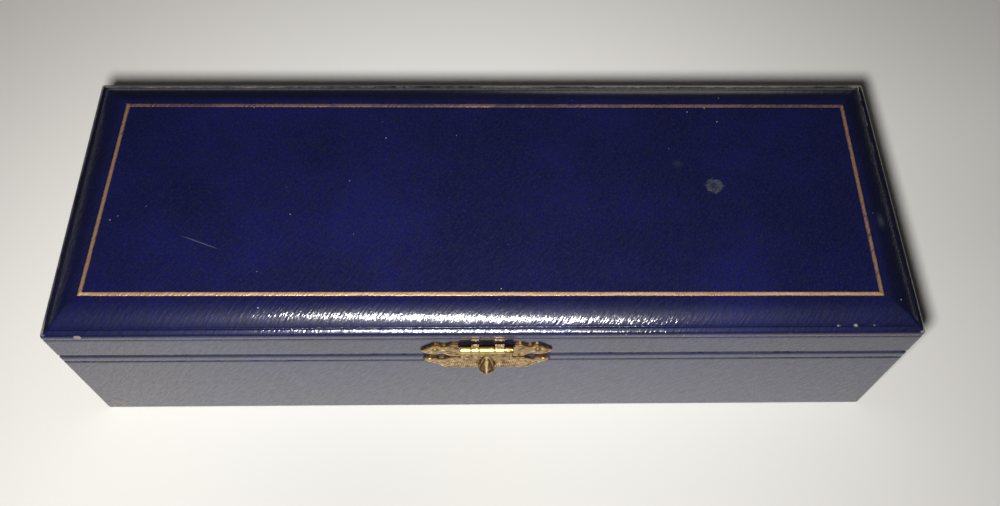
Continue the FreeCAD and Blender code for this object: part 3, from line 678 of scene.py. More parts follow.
def edge_wear(verts, lines):
    """Wear near given edges: lines is a list of (height, reach, strength); corners wear most."""
    x, y, z = verts.T
    edge = np.minimum(HX - np.abs(x), HY - np.abs(y))
    corner = np.hypot(np.maximum(np.abs(x) - (HX - 0.3), 0) + np.maximum(HX - 0.3 - np.abs(x), 0), HY - 0.3 - np.abs(y))
    drift = vnoise(verts, 0.06, 1.7) * 0.5 + 0.5
    w = np.zeros(len(x))
    for height, reach, strength, corner_strength in lines:
        near = np.exp(-((np.abs(z - height) / reach) ** 2)) * np.exp(-(np.maximum(edge, 0) / (reach * 1.6)) ** 2)
        w = np.maximum(w, near * (strength * (0.35 + 1.3 * drift) + corner_strength * np.exp(-((corner / 3.6) ** 2))))
    return w


def lid_wear(v):
    w = edge_wear(v, [(46.2, 0.5, 0.14, 0.30), (35.4, 0.3, 0.20, 0.3)])
    x, y, z = v.T
    up = smoothstep(43.0, 44.5, z)
    # the corners seen most rubbed
    for cx, cy, r, s in ((-HX, HY, 2.2, 0.45), (HX, HY, 3.0, 0.65), (-HX, -35.2, 1.5, 0.75), (HX, -HY, 2.0, 0.30)):
        w += s * up * np.exp(-(((x - cx) ** 2 + (y - cy) ** 2) / r ** 2)) * (z < 47.2)
    # thin pale lines along the bead and its crease, side by side, and a broad paler band along the back: (side, inset,
    # width, strength)
    inset = np.minimum(HX - np.abs(x), HY - np.abs(y))
    ends = (HX - np.abs(x)) < (HY - np.abs(y))
    left, right, back = ends & (x < 0), ends & (x > 0), ~ends & (y > 0)
    run = 0.55 + 0.9 * (vnoise(v, 0.05, 4.4) * 0.5 + 0.5)
    for where, at, width, s in ((left, 0.80, 0.15, 0.66), (left, 1.7, 0.12, 0.25), (right, 0.55, 0.13, 0.55), (right, 1.7, 0.12, 0.52),
                                (back, 0.25, 0.18, 0.62), (back, 1.35, 0.16, 0.56), (back, 1.6, 1.2, 0.22)):
        w += where * (z > 45.6) * s * np.exp(-(((inset - at) / width) ** 2)) * run
    # chips on the front edge, and a scraped place on the right shoulder
    for cx, cy, cz, r, s in ((-93.9, -HY, 45.7, 0.62, 1.15), (70.5, -HY, 45.9, 0.8, 0.45), (82.0, -35.3, 46.6, 0.5, 0.75), (86.0, -35.3, 46.6, 0.6, 0.85), (90.5, -35.3, 46.6, 0.6, 0.7), (56.0, -33.0, 47.5, 1.6, 0.35)):
        w += s * np.exp(-(((x - cx) / (1.4 * r)) ** 2 + ((y - cy) / r) ** 2 + ((z - cz) / r) ** 2))
    return np.clip(w, 0, 1.2)


def base_wear(v):
    w = edge_wear(v, [(0.2, 0.4, 0.30, 0.75), (34.5, 0.3, 0.2, 0.35)])
    x, y, z = v.T
    w += 0.20 * np.exp(-(((x + HX - 4.0) / 3.0) ** 2 + ((y + HY) / 1.2) ** 2 + ((z - 2.8) / 2.0) ** 2))
    upright = np.exp(-((np.hypot(HX - np.abs(x), HY - np.abs(y)) / 0.9) ** 2))
    w += upright * 0.28 * (vnoise(v, 0.2, 9.0) * 0.5 + 0.5)
    return np.clip(w, 0, 1.2)


def lid_marks(v):
    """Two faint rubs on the lid."""
    x, y, z = v.T
    top = (z > 47.0).astype(float)
    m = np.zeros(len(x))
    for cx, cy, rx, ry, s in ((48.6, 9.0, 0.9, 0.8, 0.35), (97.0, -8.0, 0.8, 1.6, 0.6)):
        m = np.maximum(m, s * np.exp(-(((x - cx) / rx) ** 2 + ((y - cy) / ry) ** 2)))
    return np.clip(m * top, 0, 1)


def base_grey_shade_lines(v):
    """Painted grey on the rim under the lid and in the crease below it: painted shade for the gap and the crease."""
    x, y, z = v.T
    inset = np.minimum(HX - np.abs(x), HY - np.abs(y))
    rim = (z > 34.6) & (inset < 2.0)
    crease = (np.abs(z - 31.77) < 0.3) & (inset > 0.1) & (inset < 0.6)
    return np.where(rim | crease, 0.9, 0.0)


lid_cover = cover("lid_cover", lid_section(), lambda d, z: 0.0 if d == 0.72 or (d > 3.8 and z < 45) else (0.7 if d < 2.6 else max(0.0, 0.7 - (d - 2.6) * 0.14)),
                  True, True, lid_wear, lid_marks)
sharp_by_angle(lid_cover, 60)
finish_piece(lid_cover, "lid", "leather", "lid_leather")
base_cover = cover("base_cover", base_section(), lambda d, z: 0.7 if d < 0.6 else (0.3 if d < 1.5 and d != 0.72 else 0.0), False, False, base_wear, base_grey_shade_lines)
sharp_by_angle(base_cover, 40)
finish_piece(base_cover, "base", "leather", "base_leather")


# ------------------------------------------------------------------ gilt line
def gilt_strip():
    """One tooled line round the lid: a shallow rounded strip with slightly ragged edges, made brightest along the front
    and darkest along the back by painted light and shade.
    """
    corner = [np.array(GILT_CORNERS[k], float) for k in ((-1, -1), (1, -1), (1, 1), (-1, 1))]
    run = [(corner[(k + 1) % 4] - corner[k]) for k in range(4)]
    unit = [r / np.hypot(*r) for r in run]
    out = [np.array((u[1], -u[0])) for u in unit]                       # outward
    def corner_at(k, o):
        a, b = out[k - 1], out[k]
        return corner[k] + o * (a + b) / (1 + a @ b)
    across = [(-1.0, -0.165), (-1.0, -0.14), (-0.82, -0.072), (-0.45, -0.046), (0.0, -0.041), (0.45, -0.046), (0.82, -0.072), (1.0, -0.14), (1.0, -0.165)]
    verts, keep = [], []
    count = [int(np.hypot(*r) / 0.42) for r in run]
    for t, dz in across:
        for k in range(4):
            a, b = corner_at(k, 0.0), corner_at((k + 1) % 4, 0.0)
            for i in range(count[k]):
                f = i / count[k]
                c = a + (b - a) * f
                rag = 1.0 - 0.22 * abs(noise.noise(Vector((c[0] * 0.9, c[1] * 0.9, 7.0 * t)))) - 0.10 * abs(noise.noise(Vector((c[0] * 0.21, c[1] * 0.21, 3.0 * t))))
                o = 0.57 * t * (rag if abs(t) > 0.6 else 1.0)
                p0, p1 = corner_at(k, o), corner_at((k + 1) % 4, o)
                p = p0 + (p1 - p0) * f
                verts.append((p[0], p[1], Z_TOP + dz))
                # keep per side (front, right, back, left): painted light and shade on top of the worn leaf
                keep.append((1 - abs(t) ** 2) * (1.0, 0.34, 0.16, 0.40)[k])
    n, m = sum(count), len(across)
    faces = [(i * n + j, i * n + (j + 1) % n, ((i + 1) % m) * n + (j + 1) % n, ((i + 1) % m) * n + j) for i in range(m) for j in range(n)]
    ob = new_object("gilt_line", verts, faces, GILT)
    point_attribute(ob, "keep", keep)
    return ob


finish_piece(gilt_strip(), "lid", "gilt", "gilt_border")


# ------------------------------------------------------------------ catch: stamped relief
def spline(points, per=10):
    """Smooth run of points through the given ones (Catmull-Rom)."""
    p = [np.array(q, float) for q in points]
    if len(p) == 2:
        return [p[0] + (p[1] - p[0]) * t for t in np.linspace(0, 1, max(2, int(np.hypot(*(p[1] - p[0])) / 0.14)), endpoint=False)]
    p = [2 * p[0] - p[1]] + p + [2 * p[-1] - p[-2]]
    out = []
    for i in range(1, len(p) - 2):
        for t in np.linspace(0, 1, per, endpoint=False):
            a, b, c, d = p[i - 1], p[i], p[i + 1], p[i + 2]
            out.append(0.5 * ((2 * b) + (c - a) * t + (2 * a - 5 * b + 4 * c - d) * t * t + (3 * b - a - 3 * c + d) * t ** 3))
    return out


def outline_of(runs):
    right = []
    for r in runs:
        right += spline(r)
    right.append(np.array(runs[-1][-1], float))
    left = [np.array((-q[0], q[1])) for q in reversed(right[1:-1])]
    return np.array(right + left)


UPPER_RUNS = [
    [(0.0, 41.75), (8.3, 41.75)],
    [(8.3, 41.75), (8.9, 41.45), (9.7, 40.85), (10.6, 40.95), (11.4, 41.45), (12.2, 41.6), (12.9, 41.2), (13.9, 40.3), (15.0, 39.3), (15.65, 38.6)],
    [(15.65, 38.6), (15.5, 37.9), (14.7, 37.1), (13.5, 36.4), (12.4, 36.15), (11.5, 36.35), (10.6, 36.65), (9.8, 36.2), (9.2, 35.5), (8.4, 35.2)],
    [(8.4, 35.2), (0.0, 35.2)],
]
LOWER_RUNS = [
    [(0.0, 34.55), (8.8, 34.55)],
    [(8.8, 34.55), (9.6, 34.1), (10.5, 33.6), (11.5, 33.75), (12.2, 34.3), (13.0, 34.55), (14.0, 34.55), (14.9, 34.2), (15.35, 33.5)],
    [(15.35, 33.5), (15.1, 32.7), (14.3, 32.1), (13.5, 31.6), (13.0, 30.9), (12.3, 30.6), (11.6, 30.1), (11.0, 29.2), (10.2, 28.5), (9.0, 28.15), (7.4, 28.1)],
    [(7.4, 28.1), (0.0, 28.1)],
]
HASP_RUNS = [
    [(0.0, 40.75), (6.2, 40.75)],
    [(6.2, 40.75), (6.2, 34.6)],
    [(6.2, 34.6), (5.7, 33.9), (4.6, 33.5), (3.4, 33.1), (2.65, 32.3), (2.4, 31.0), (2.1, 29.6), (1.3, 28.3), (0.0, 27.8)],
]


def distance_to(points, loop):
    """Distance of each point from a closed outline."""
    a, b = loop, np.roll(loop, -1, axis=0)
    best = np.full(len(points), 1e9)
    ab = b - a
    ll = np.maximum((ab ** 2).sum(1), 1e-12)
    for k in range(len(a)):
        t = np.clip(((points - a[k]) @ ab[k]) / ll[k], 0, 1)
        q = points - (a[k] + t[:, None] * ab[k])
        best = np.minimum(best, (q ** 2).sum(1))
    return np.sqrt(best)


def inside_of(points, loop):
    x, y = points.T
    ok = np.zeros(len(points), bool)
    a, b = loop, np.roll(loop, -1, axis=0)
    for (x0, y0), (x1, y1) in zip(a, b):
        if y0 == y1:
            continue
        k = ((y0 > y) != (y1 > y)) & (x < (x1 - x0) * (y - y0) / (y1 - y0) + x0)
        ok ^= k
    return ok


def relief_plate(name, loop, step, front, back, relief, notches=()):
    """Closed plate on an XZ outline.  front and back give the Y of each face; relief the tone of the patina, with
    painted shadow below zero and painted highlight and shade on the hasp's nose.
    """
    xs = np.arange(loop[:, 0].min(), loop[:, 0].max(), step)
    zs = np.arange(loop[:, 1].min(), loop[:, 1].max(), step)
    G = np.array([(x + (0.5 * step if j % 2 else 0.0), z) for j, z in enumerate(zs) for x in xs])
    d = distance_to(G, loop)
    G = G[inside_of(G, loop) & (d > 0.55 * step)]
    P = np.vstack([loop, G])
    nb = len(loop)
    vs, _, fs, orig, _, _ = geometry.delaunay_2d_cdt([Vector(p) for p in P], [(i, (i + 1) % nb) for i in range(nb)], [], 1, 1e-6)
    P = np.array([(v.x, v.y) for v in vs])
    tri = [tuple(f) for f in fs]
    db = distance_to(P, loop)
    yf, yb = front(P[:, 0], P[:, 1], db), back(P[:, 0], P[:, 1])
    n = len(P)
    verts = np.vstack([np.stack([P[:, 0], yf, P[:, 1]], 1), np.stack([P[:, 0], yb, P[:, 1]], 1)])
    edges = {}
    for t in tri:
        for i in range(3):
            e = (t[i], t[(i + 1) % 3])
            edges[e] = edges.get(e, 0) + 1
    rim = [e for e in edges if (e[1], e[0]) not in edges]
    faces = tri + [tuple(i + n for i in reversed(t)) for t in tri] + [(b, a, a + n, b + n) for a, b in rim]
    ob = new_object(name, verts, faces, RELIEF)
    tone = relief(P[:, 0], P[:, 1], db)
    point_attribute(ob, "relief", np.concatenate([tone, np.minimum(tone, 0.2)]))
    return ob


def ring_bump(r, at, width):
    return np.exp(-(((r - at) / width) ** 2))


def border(db):
    """Raised cord along the outline with a sunk line inside it."""
    return 0.17 * ring_bump(db, 0.36, 0.17) - 0.07 * ring_bump(db, 0.74, 0.13) - 0.16 * smoothstep(0.16, 0.0, db)


def reeds(u, pitch):
    return 0.5 + 0.5 * np.cos(2 * math.pi * u / pitch)


def upper_height(x, z, db):
    ax = np.abs(x)
    h = border(db)
    inner = smoothstep(0.75, 1.0, db)
    # wing: a rosette of petals round the pin, with a leaf vein running out to the point
    px, pz = ax - 12.2, z - 38.9
    r, a = np.hypot(px, pz), np.arctan2(pz, px)
    petals = np.exp(-(((r - 1.45) / 0.42) ** 2)) * (0.55 + 0.45 * np.cos(8 * a))
    wing = 0.16 * petals + 0.08 * ring_bump(r, 0.98, 0.12) + 0.10 * np.exp(-(((z - 38.75) / 0.14) ** 2)) * smoothstep(13.7, 14.2, ax)
    # scrolls between wing and flap
    for cx, cz, turn in ((9.0, 39.6, 1), (9.0, 37.3, -1)):
        rr, aa = np.hypot(ax - cx, z - cz), np.arctan2(z - cz, ax - cx)
        spiral = np.cos(2 * math.pi * (rr / 0.62 - turn * aa / (2 * math.pi)))
        wing = wing + 0.075 * spiral * smoothstep(1.25, 0.9, rr)
    h = h + wing * inner
    # beaded row along the top edge, on both sides of the barrels
    bead_row = np.exp(-(((z - 41.22) / 0.2) ** 2)) * smoothstep(6.6, 6.9, ax) * smoothstep(9.0, 8.7, ax)
    h = h + 0.12 * bead_row * reeds(ax, 0.46)
    return h


def lower_height(x, z, db):
    ax = np.abs(x)
    h = border(db)
    inner = smoothstep(0.55, 0.8, db)
    # fan of reeds spreading from the boss
    u = x / (1.0 + 0.03 * (34.0 - z))
    fan = 0.12 * reeds(u, 0.48) * smoothstep(9.7, 9.1, ax)
    # end scroll round the pin, and a small curled leaf under it
    px, pz = ax - 13.7, z - 33.3
    r, a = np.hypot(px, pz), np.arctan2(pz, px)
    end = 0.10 * ring_bump(r, 0.95, 0.12)
    rr, aa = np.hypot(ax - 11.4, z - 31.9), np.arctan2(z - 31.9, ax - 11.4)
    leaf = np.exp(-(((rr - 1.05) / 0.36) ** 2)) * (0.5 + 0.5 * np.cos(6 * aa)) + 0.8 * np.exp(-((rr / 0.36) ** 2))
    # oval boss at the shoulder of the plate
    oval = np.hypot((ax - 9.75) / 1.25, (z - 33.15) / 0.62)
    end = end + 0.16 * np.exp(-(oval / 0.75) ** 2) + 0.06 * ring_bump(oval, 1.05, 0.14)
    return h + (fan * smoothstep(0.9, 1.2, oval) + end + 0.15 * leaf * smoothstep(2.0, 1.7, rr)) * inner


def boss_width(z):
    zs = [27.85, 28.0, 28.4, 29.2, 30.0, 30.9, 32.0, 33.3, 34.4, 35.3, 36.1, 36.75, 37.0]
    ws = [0.0, 0.45, 0.92, 1.50, 1.86, 2.02, 1.95, 1.72, 1.42, 1.12, 0.86, 0.60, 0.0]
    return np.interp(z, zs, ws)


nose_z = np.concatenate([np.linspace(27.85, 28.8, 12, endpoint=False), np.linspace(28.8, 37.0, 30)])
NOSE = np.vstack([np.stack([boss_width(nose_z), nose_z], 1), np.stack([-boss_width(nose_z), nose_z], 1)[::-1]])


def keel_width(z):
    return np.interp(z, [28.1, 29.6, 34.5, 37.0], [0.16, 0.30, 0.48, 0.40])


def hasp_height(x, z, db):
    ax = np.abs(x)
    h = 0.12 * ring_bump(db, 0.34, 0.16) - 0.10 * smoothstep(0.14, 0.0, db)
    # engraved fan over the flap
    ang = np.degrees(np.arctan2(x, z - 24.0))
    fan = 0.09 * reeds(ang + 0.8 * np.sin(z * 9.0), 2.7) * smoothstep(0.55, 0.8, db) * smoothstep(33.2, 33.8, z) * smoothstep(40.2, 39.8, z)
    w = boss_width(z)
    t = np.where(w > 1e-6, ax / np.maximum(w, 1e-6), 9.0)
    edge = distance_to(np.stack([x, z], 1), NOSE)
    # nose: a drop with a raised rim, hollow flanks and a keel down its middle, standing higher towards its foot
    lift = np.interp(z, [27.85, 28.2, 29.0, 30.5, 33.0, 35.0, 37.0], [1.05, 1.25, 1.38, 1.40, 1.18, 0.7, 0.05])
    keel = 0.60 + 0.48 * np.exp(-((ax / keel_width(z)) ** 2)) * smoothstep(28.1, 29.2, z)
    body = lift * keel * (0.45 + 0.55 * smoothstep(0.0, 0.16, edge)) + 0.26 * np.minimum(lift, 1.0) * (ring_bump(edge, 0.20, 0.11) - 0.5 * ring_bump(edge, 0.46, 0.13))
    moat = 0.12 * np.exp(-((edge / 0.2) ** 2))
    return np.where(t < 1.0, np.minimum(body, 1.52), h + fan - moat)


upper_loop, lower_loop = outline_of(UPPER_RUNS), outline_of(LOWER_RUNS)
hasp_right = []
for run in HASP_RUNS:
    hasp_right += spline(run)
hasp_right.append(np.array((0.0, 27.8)))
hasp_loop = np.array(hasp_right + [np.array((-q[0], q[1])) for q in reversed(hasp_right[1:-1])])
FRONT = Y_FACE - 0.52

# upper plate: the tone drops below zero behind the barrels, a painted shadow between the knuckles
upper_plate = relief_plate("catch_upper", upper_loop, 0.13, lambda x, z, d: FRONT - upper_height(x, z, d) * 0.45, lambda x, z: np.full(len(x), Y_FACE),
                           lambda x, z, d: np.clip(0.44 + upper_height(x, z, d) * 2.8 - 0.75 * smoothstep(0.62, 0.25, d) * smoothstep(38.4, 39.4, z) * smoothstep(8.3, 8.8, np.abs(x)), 0, 1)
                           - 1.7 * smoothstep(40.1, 40.5, z) * smoothstep(6.9, 6.4, np.abs(x)))
lower_plate = relief_plate("catch_lower", lower_loop, 0.13, lambda x, z, d: FRONT - lower_height(x, z, d) * 0.55, lambda x, z: np.full(len(x), Y_FACE),
                           lambda x, z, d: np.clip(np.where(np.abs(x) < 9.4, 0.24 + lower_height(x, z, d) * 4.4, 0.42 + lower_height(x, z, d) * 3.0)
                                                   - 0.8 * smoothstep(0.6, 0.25, d) * smoothstep(32.6, 33.4, z) * smoothstep(8.8, 9.3, np.abs(x)), 0, 1))


def hasp_back(x, z):
    r2 = x ** 2 + (z - 31.2) ** 2
    hollow = Y_FACE - 1.15 - np.sqrt(np.maximum(1.0 - r2, 0.0))
    return np.where(r2 < 1.0 - 0.35 ** 2, np.minimum(Y_FACE - 0.8, hollow), Y_FACE - 0.8)


def hasp_tone(x, z, d):
    w = boss_width(z)
    t = np.where(w > 1e-6, np.abs(x) / np.maximum(w, 1e-6), 9.0)
    edge = distance_to(np.stack([x, z], 1), NOSE)
    # painted highlight on the keel and the rim of the nose, painted shade on its hollow flanks
    nose_light_and_shade = -0.10 + 1.6 * np.exp(-((x / (0.8 * keel_width(z))) ** 2)) * smoothstep(28.1, 29.2, z) + 1.0 * ring_bump(edge, 0.20, 0.12)
    plain = np.clip(0.34 + hasp_height(x, z, d) * 3.2, 0, 1)
    return np.where(t < 1.0, nose_light_and_shade, plain)


hasp_piece = relief_plate("hasp_flap", hasp_loop, 0.12, lambda x, z, d: Y_FACE - 1.32 - hasp_height(x, z, d), hasp_back, hasp_tone)
for ob, body in ((upper_plate, "lid"), (lower_plate, "base"), (hasp_piece, "hasp")):
    sharp_by_angle(ob, 50)

KNUCKLES = [-6.2, -3.65, -1.75, 1.95, 4.25, 6.35]
CATCH_Y, CATCH_Z = Y_FACE - 1.55, 40.9


def barrel(x0, x1, r, bore):
    """One rolled knuckle with eased ends, a dished waist and its bore."""
    prof = [(x0, bore), (x0, r - 0.09), (x0 + 0.03, r - 0.03), (x0 + 0.09, r)]
    for t in np.linspace(0.2, 0.8, 5):
        prof.append((x0 + (x1 - x0) * t, r - 0.012 * math.sin(math.pi * t)))
    prof += [(x1 - 0.09, r), (x1 - 0.03, r - 0.03), (x1, r - 0.09), (x1, bore)]
    seg = 40
    verts, faces = [], []
    for x, q in prof:
        for k in range(seg):
            a = 2 * math.pi * k / seg
            verts.append((x, CATCH_Y + q * math.cos(a), CATCH_Z + q * math.sin(a)))
    n = len(prof)
    for i in range(n):
        for k in range(seg):
            faces.append((i * seg + k, i * seg + (k + 1) % seg, ((i + 1) % n) * seg + (k + 1) % seg, ((i + 1) % n) * seg + k))
    return verts, faces


def join_barrels(ob, which, strap):
    parts = [ob]
    for i in which:
        x0, x1 = KNUCKLES[i] + 0.07, KNUCKLES[i + 1] - 0.07
        v, f = barrel(x0, x1, 0.85, 0.40)
        b = new_object(ob.name + "_b%d" % i, v, f, RUBBED if i < 4 else RELIEF)
        point_attribute(b, "relief", np.full(len(v), 0.35))
        sharp_by_angle(b, 40)
        parts.append(b)
        if strap:
            # the tongue of plate that rolls round into the knuckle
            prof = []
            for a in np.linspace(math.radians(8), math.radians(88), 9):
                prof.append((CATCH_Y + 0.85 * math.cos(a), CATCH_Z + 0.85 * math.sin(a)))
            prof += [(Y_FACE - 0.05, CATCH_Z + 0.85), (Y_FACE - 0.05, CATCH_Z + 0.3), (Y_FACE - 0.55, CATCH_Z + 0.12)]
            n = len(prof)
            v = [(x0, y, z) for y, z in prof] + [(x1, y, z) for y, z in prof]
            f = [tuple(range(n)), tuple(reversed(range(n, 2 * n)))] + [(k, (k + 1) % n, (k + 1) % n + n, k + n) for k in range(n)]
            s = new_object(ob.name + "_s%d" % i, v, f, RELIEF)
            point_attribute(s, "relief", np.full(len(v), 0.55))
            sharp_by_angle(s, 40)
            parts.append(s)
    with bpy.context.temp_override(active_object=ob, selected_editable_objects=parts, selected_objects=parts):
        bpy.ops.object.join()


join_barrels(upper_plate, (1, 3), True)
join_barrels(hasp_piece, (0, 2, 4), False)
finish_piece(upper_plate, "lid", "brass", "catch_upper_plate")
finish_piece(lower_plate, "base", "brass", "catch_lower_plate")
finish_piece(hasp_piece, "hasp", "brass", "hasp")


# ------------------------------------------------------------------ velvet and satin fittings
def soft_block(name, profile, x0, x1, axis, material, edge, step=2.0, ripple=0.05, seed=0.0):
    """Covered block: a profile pushed along an axis, its edges rounded, its faces a little uneven."""
    n = len(profile)
    def at(u, p):
        return (u, p[0], p[1]) if axis == "x" else (p[0], u, p[1])
    verts = [at(x0, p) for p in profile] + [at(x1, p) for p in profile]
    faces = [tuple(range(n)), tuple(reversed(range(n, 2 * n)))] + [(k, (k + 1) % n, (k + 1) % n + n, k + n) for k in range(n)]
    ob = new_object(name, verts, faces, material)
    bm = bmesh.new()
    bm.from_mesh(ob.data)
    bmesh.ops.triangulate(bm, faces=[f for f in bm.faces if len(f.verts) > 4])
    bmesh.ops.dissolve_limit(bm, angle_limit=0.001, verts=bm.verts, edges=bm.edges)
    bmesh.ops.bevel(bm, geom=[e for e in bm.edges if e.is_manifold and e.calc_face_angle(0) > 0.5], offset=edge * MM, segments=4, profile=0.5, affect="EDGES", clamp_overlap=True)
    bmesh.ops.triangulate(bm, faces=bm.faces)
    for _ in range(7):
        long = [e for e in bm.edges if e.calc_length() > step * 1.5 * MM]
        if not long:
            break
        bmesh.ops.subdivide_edges(bm, edges=long, cuts=1, use_grid_fill=False)
        bmesh.ops.triangulate(bm, faces=[f for f in bm.faces if len(f.verts) > 3])
    bm.normal_update()
    for v in bm.verts:
        p = v.co * 1000
        h = noise.noise(Vector((p.x * 0.13 + seed, p.y * 0.13, p.z * 0.13))) * 0.6 + noise.noise(Vector((p.x * 0.45, p.y * 0.45 + seed, p.z * 0.45))) * 0.4
        v.co -= v.normal * (abs(h) * ripple * MM)
    bm.to_mesh(ob.data)
    bm.free()
    ob.data.polygons.foreach_set("use_smooth", [True] * len(ob.data.polygons))
    return ob


def box_profile(a0, a1, z0, z1):
    return [(a0, z0), (a1, z0), (a1, z1), (a0, z1)]


IX, IY, LIN = 98.2, 32.7, 1.5
FX, FY = IX - LIN, IY - LIN
ZF, ZU = 3.7, 38.0
pieces = [
    ("velvet_front", box_profile(-IY, -FY, ZF, ZU), -IX, IX, "x", "base_front_lining", 0.55),
    ("velvet_back", box_profile(FY, IY, ZF, ZU), -IX, IX, "x", "base_back_lining", 0.55),
    ("velvet_left", box_profile(-IX, -FX, ZF, ZU), -FY, FY, "y", "base_left_lining", 0.5),
    ("velvet_right", box_profile(FX, IX, ZF, ZU), -FY, FY, "y", "base_right_lining", 0.5),
    ("velvet_floor", box_profile(-FY, FY, ZF, ZF + 2.0), -FX, FX, "x", "floor_pad", 0.6),
]
for k, (name, prof, a, b, axis, node, edge) in enumerate(pieces):
    finish_piece(soft_block(name, prof, a, b, axis, VELVET, edge, 2.2, 0.08, k * 3.3), "base", "velvet", node)

SLOTS = [(-28.2, -19.2), (-15.2, -3.2), (0.8, 14.8), (18.8, 27.8)]
comb = [(-FY, 5.7), (FY, 5.7), (FY, 30.0)]
for a, b in reversed(SLOTS):
    comb += [(b, 30.0), (b, 20.2), (b - 1.2, 19.0), (a + 1.2, 19.0), (a, 20.2), (a, 30.0)]
comb += [(-FY, 30.0)]
for side, a, b in (("left", -76.0, -26.0), ("right", 26.0, 76.0)):
    finish_piece(soft_block("velvet_%s_saddle" % side, comb, a, b, "x", VELVET, 0.8, 1.9, 0.12, a), "base", "velvet", "%s_saddle" % side)

LX, LY, LL, ZC = 98.6, 33.1, 0.8, 43.0
for k, (name, prof, a, b, axis, node) in enumerate([
    ("satin_front", box_profile(-LY, -LY + LL, 38.8, ZC), -LX, LX, "x", "lid_front_lining"),
    ("satin_back", box_profile(LY - LL, LY, 38.8, ZC), -LX, LX, "x", "lid_back_lining"),
    ("satin_left", box_profile(-LX, -LX + LL, 38.8, ZC), -LY + LL, LY - LL, "y", "lid_left_lining"),
    ("satin_right", box_profile(LX - LL, LX, 38.8, ZC), -LY + LL, LY - LL, "y", "lid_right_lining"),
]):
    finish_piece(soft_block(name, prof, a, b, axis, SATIN, 0.3, 2.0, 0.04, 20 + k), "lid", "satin", node)


def settle(grid):
    """Lets the loose satin fill out over its wadding as cloth, held along its tucked-in edge; returns the settled points."""
    a, b = grid.shape[:2]
    idx = np.arange(a * b).reshape(a, b)
    faces = [(idx[i, j], idx[i, j + 1], idx[i + 1, j + 1], idx[i + 1, j]) for i in range(a - 1) for j in range(b - 1)]
    start = grid.reshape(-1, 3)
    ob = new_object("satin_sheet", start, faces, SATIN, normals=False)
    rim = np.ones((a, b), bool)
    rim[1:-1, 1:-1] = False
    ob.vertex_groups.new(name="tucked").add([int(i) for i in idx[rim]], 1.0, "REPLACE")
    mod = ob.modifiers.new("satin", "CLOTH")
    s = mod.settings
    s.quality = 4
    s.mass = 0.08
    s.tension_stiffness = 12.0
    s.compression_stiffness = 12.0
    s.shear_stiffness = 6.0
    s.bending_stiffness = 0.02
    s.vertex_group_mass = "tucked"
    s.shrink_min = -0.02
    s.use_pressure = True
    s.uniform_pressure_force = 4.0
    s.effector_weights.gravity = 0.0
    mod.collision_settings.use_collision = False
    mod.point_cache.frame_start = 1
    mod.point_cache.frame_end = 20
    for f in range(1, 21):
        bpy.context.scene.frame_set(f)
    settled = ob.evaluated_get(bpy.context.evaluated_depsgraph_get()).data
    co = np.zeros(3 * len(start))
    settled.vertices.foreach_get("co", co)
    co = co.reshape(-1, 3) / MM
    bpy.data.objects.remove(ob)
    bpy.context.scene.frame_set(1)
    # the wadding lets the satin move only so far, and the pad is 3.1 mm deep at most
    co = start + np.clip(co - start, (-0.5, -0.5, -1.2), (0.5, 0.5, 0.5))
    deep = ZC - co[:, 2]
    deep = np.where(deep > 2.3, 2.3 + 0.75 * (1 - np.exp(-(deep - 2.3) / 0.75)), deep)
    co[:, 2] = ZC - np.maximum(deep, 0.12)
    co[rim.ravel()] = start[rim.ravel()]
    return co.reshape(a, b, 3)


def halved(g):
    """Doubles the rows of a grid along a smooth curve through them."""
    h = np.concatenate([2 * g[:1] - g[1:2], g, 2 * g[-1:] - g[-2:-1]])
    out = np.empty((2 * len(g) - 1,) + g.shape[1:])
    out[::2] = g
    out[1::2] = (9 * (h[1:-2] + h[2:-1]) - h[:-3] - h[3:]) / 16
    return out


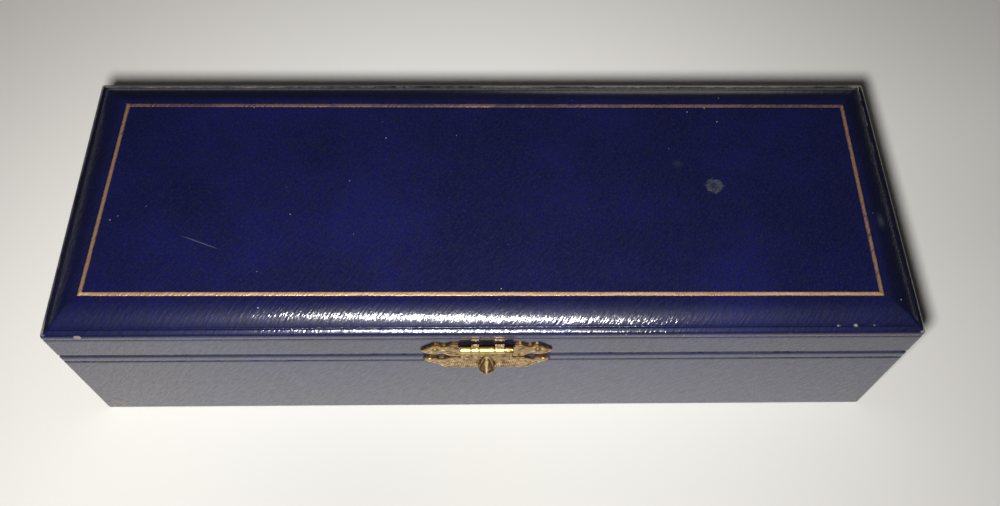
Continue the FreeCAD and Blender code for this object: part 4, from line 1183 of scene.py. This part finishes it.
def lid_cushion():
    """Satin drawn over wadding and tucked in round the edge: crowned, with small gathers at the sides."""
    px, py = 97.55, 32.05
    nx, ny = 120, 42
    def spread(h, n):
        t = np.linspace(-1, 1, n + 1)
        return h * (t * 1.12 - 0.12 * t ** 3)
    xs, ys = spread(px, nx), spread(py, ny)
    X, Y = np.meshgrid(xs, ys, indexing="ij")
    e = np.minimum(px - np.abs(X), py - np.abs(Y))
    crown = 1 - np.exp(-e / 3.2)
    along = np.where((px - np.abs(X)) < (py - np.abs(Y)), Y, X)
    P = np.stack([X.ravel(), Y.ravel(), 0 * X.ravel()], 1)
    jitter = vnoise(P, 0.11, 5.0).reshape(X.shape)
    gather = np.cos(along * 0.95 + 5.0 * jitter) * np.exp(-((e - 2.6) / 2.8) ** 2)
    slack = vnoise(P, 0.035, 2.0).reshape(X.shape) * 0.22 + vnoise(P, 0.09, 8.0).reshape(X.shape) * 0.09
    depth = 0.45 + 1.75 * crown + 0.17 * gather - np.abs(slack) * crown
    depth = np.clip(depth, 0.12, 3.08)
    grid = np.stack([X, Y, ZC - depth], -1)
    grid = settle(grid)
    grid = np.swapaxes(halved(np.swapaxes(halved(grid), 0, 1)), 0, 1)
    grid[..., 2] = np.clip(grid[..., 2], ZC - 3.08, ZC - 0.1)
    low = grid.reshape(-1, 3)
    nx, ny = 2 * nx, 2 * ny
    n = (nx + 1) * (ny + 1)
    idx = np.arange(n).reshape(nx + 1, ny + 1)
    faces = []
    for i in range(nx):
        for j in range(ny):
            faces.append((idx[i, j], idx[i, j + 1], idx[i + 1, j + 1], idx[i + 1, j]))
    ring = [idx[i, 0] for i in range(nx)] + [idx[nx, j] for j in range(ny)] + [idx[i, ny] for i in range(nx, 0, -1)] + [idx[0, j] for j in range(ny, 0, -1)]
    top = {v: n + k for k, v in enumerate(ring)}
    verts = np.vstack([low, [(low[v][0], low[v][1], ZC - 0.01) for v in ring]])
    for a, b in zip(ring, ring[1:] + ring[:1]):
        faces.append((a, b, top[b], top[a]))
    faces.append(tuple(top[v] for v in reversed(ring)))
    ob = new_object("satin_cushion", verts, faces, SATIN)
    finish_piece(ob, "lid", "satin", "lid_pad")


lid_cushion()

# ------------------------------------------------------------------ finishes of the CAD pieces that stay
finish_of = {"gilt": GILT, "brass": BRASS, "wood": WOOD, "sole": PAPER, "wadding": WADDING, "velvet": VELVET, "satin": SATIN, "leather": LEATHER}
for part in frame["record"]["subparts"]:
    ob = NODES[part["node"]]
    mat = {"lower_plate_pins": RUBBED, "upper_plate_pins": DULL}.get(part["node"], finish_of[part["material_slot"]])
    if not ob.data.materials:
        ob.data.materials.append(mat)
    for i in range(len(ob.material_slots)):
        ob.material_slots[i].material = mat

# ------------------------------------------------------------------ table, light and camera
floor_me = bpy.data.meshes.new("table_top")
floor_me.from_pydata([(-3, -3, 0), (3, -3, 0), (3, 3, 0), (-3, 3, 0)], [], [(0, 1, 2, 3)])
floor = bpy.data.objects.new("table_top", floor_me)
bpy.context.scene.collection.objects.link(floor)
floor_me.materials.append(floor_material())
floor.location.z = -0.00002


def area_light(name, place, target, size, power, colour=(1, 1, 1)):
    data = bpy.data.lights.new(name, "AREA")
    data.shape = "DISK"
    data.size = size
    data.energy = power
    data.color = colour
    ob = bpy.data.objects.new(name, data)
    ob.location = place
    ob.rotation_euler = (Vector(target) - Vector(place)).to_track_quat("-Z", "Y").to_euler()
    bpy.context.scene.collection.objects.link(ob)
    return ob


area_light("key", (-0.012, -0.139, 0.238), (0, 0.005, 0.04), 0.020, 1.04, (1.0, 0.985, 0.955))
area_light("fill_left", (-1.1, 0.0, 0.45), (0, 0, 0.02), 0.7, 0.10, (1.0, 0.86, 0.70))
area_light("fill_back", (0.35, 1.7, 0.34), (0, 0, 0.03), 0.62, 0.75, (1.0, 0.92, 0.82))

world = bpy.data.worlds.new("room")
world.use_nodes = True
world.node_tree.nodes["Background"].inputs[0].default_value = (1.0, 0.92, 0.84, 1)
world.node_tree.nodes["Background"].inputs[1].default_value = 0.022
bpy.context.scene.world = world
bpy.context.scene.view_settings.view_transform = "Standard"

cam_data = bpy.data.cameras.new("camera")
cam_data.sensor_width = 36.0
cam_data.lens = 33.56
cam_data.clip_start = 0.01
cam = bpy.data.objects.new("camera", cam_data)
cam.location = (-0.00115, -0.12622, 0.24265)
cam.rotation_euler = (math.radians(29.451), math.radians(-0.893), math.radians(-0.742))
bpy.context.scene.collection.objects.link(cam)
bpy.context.scene.camera = cam
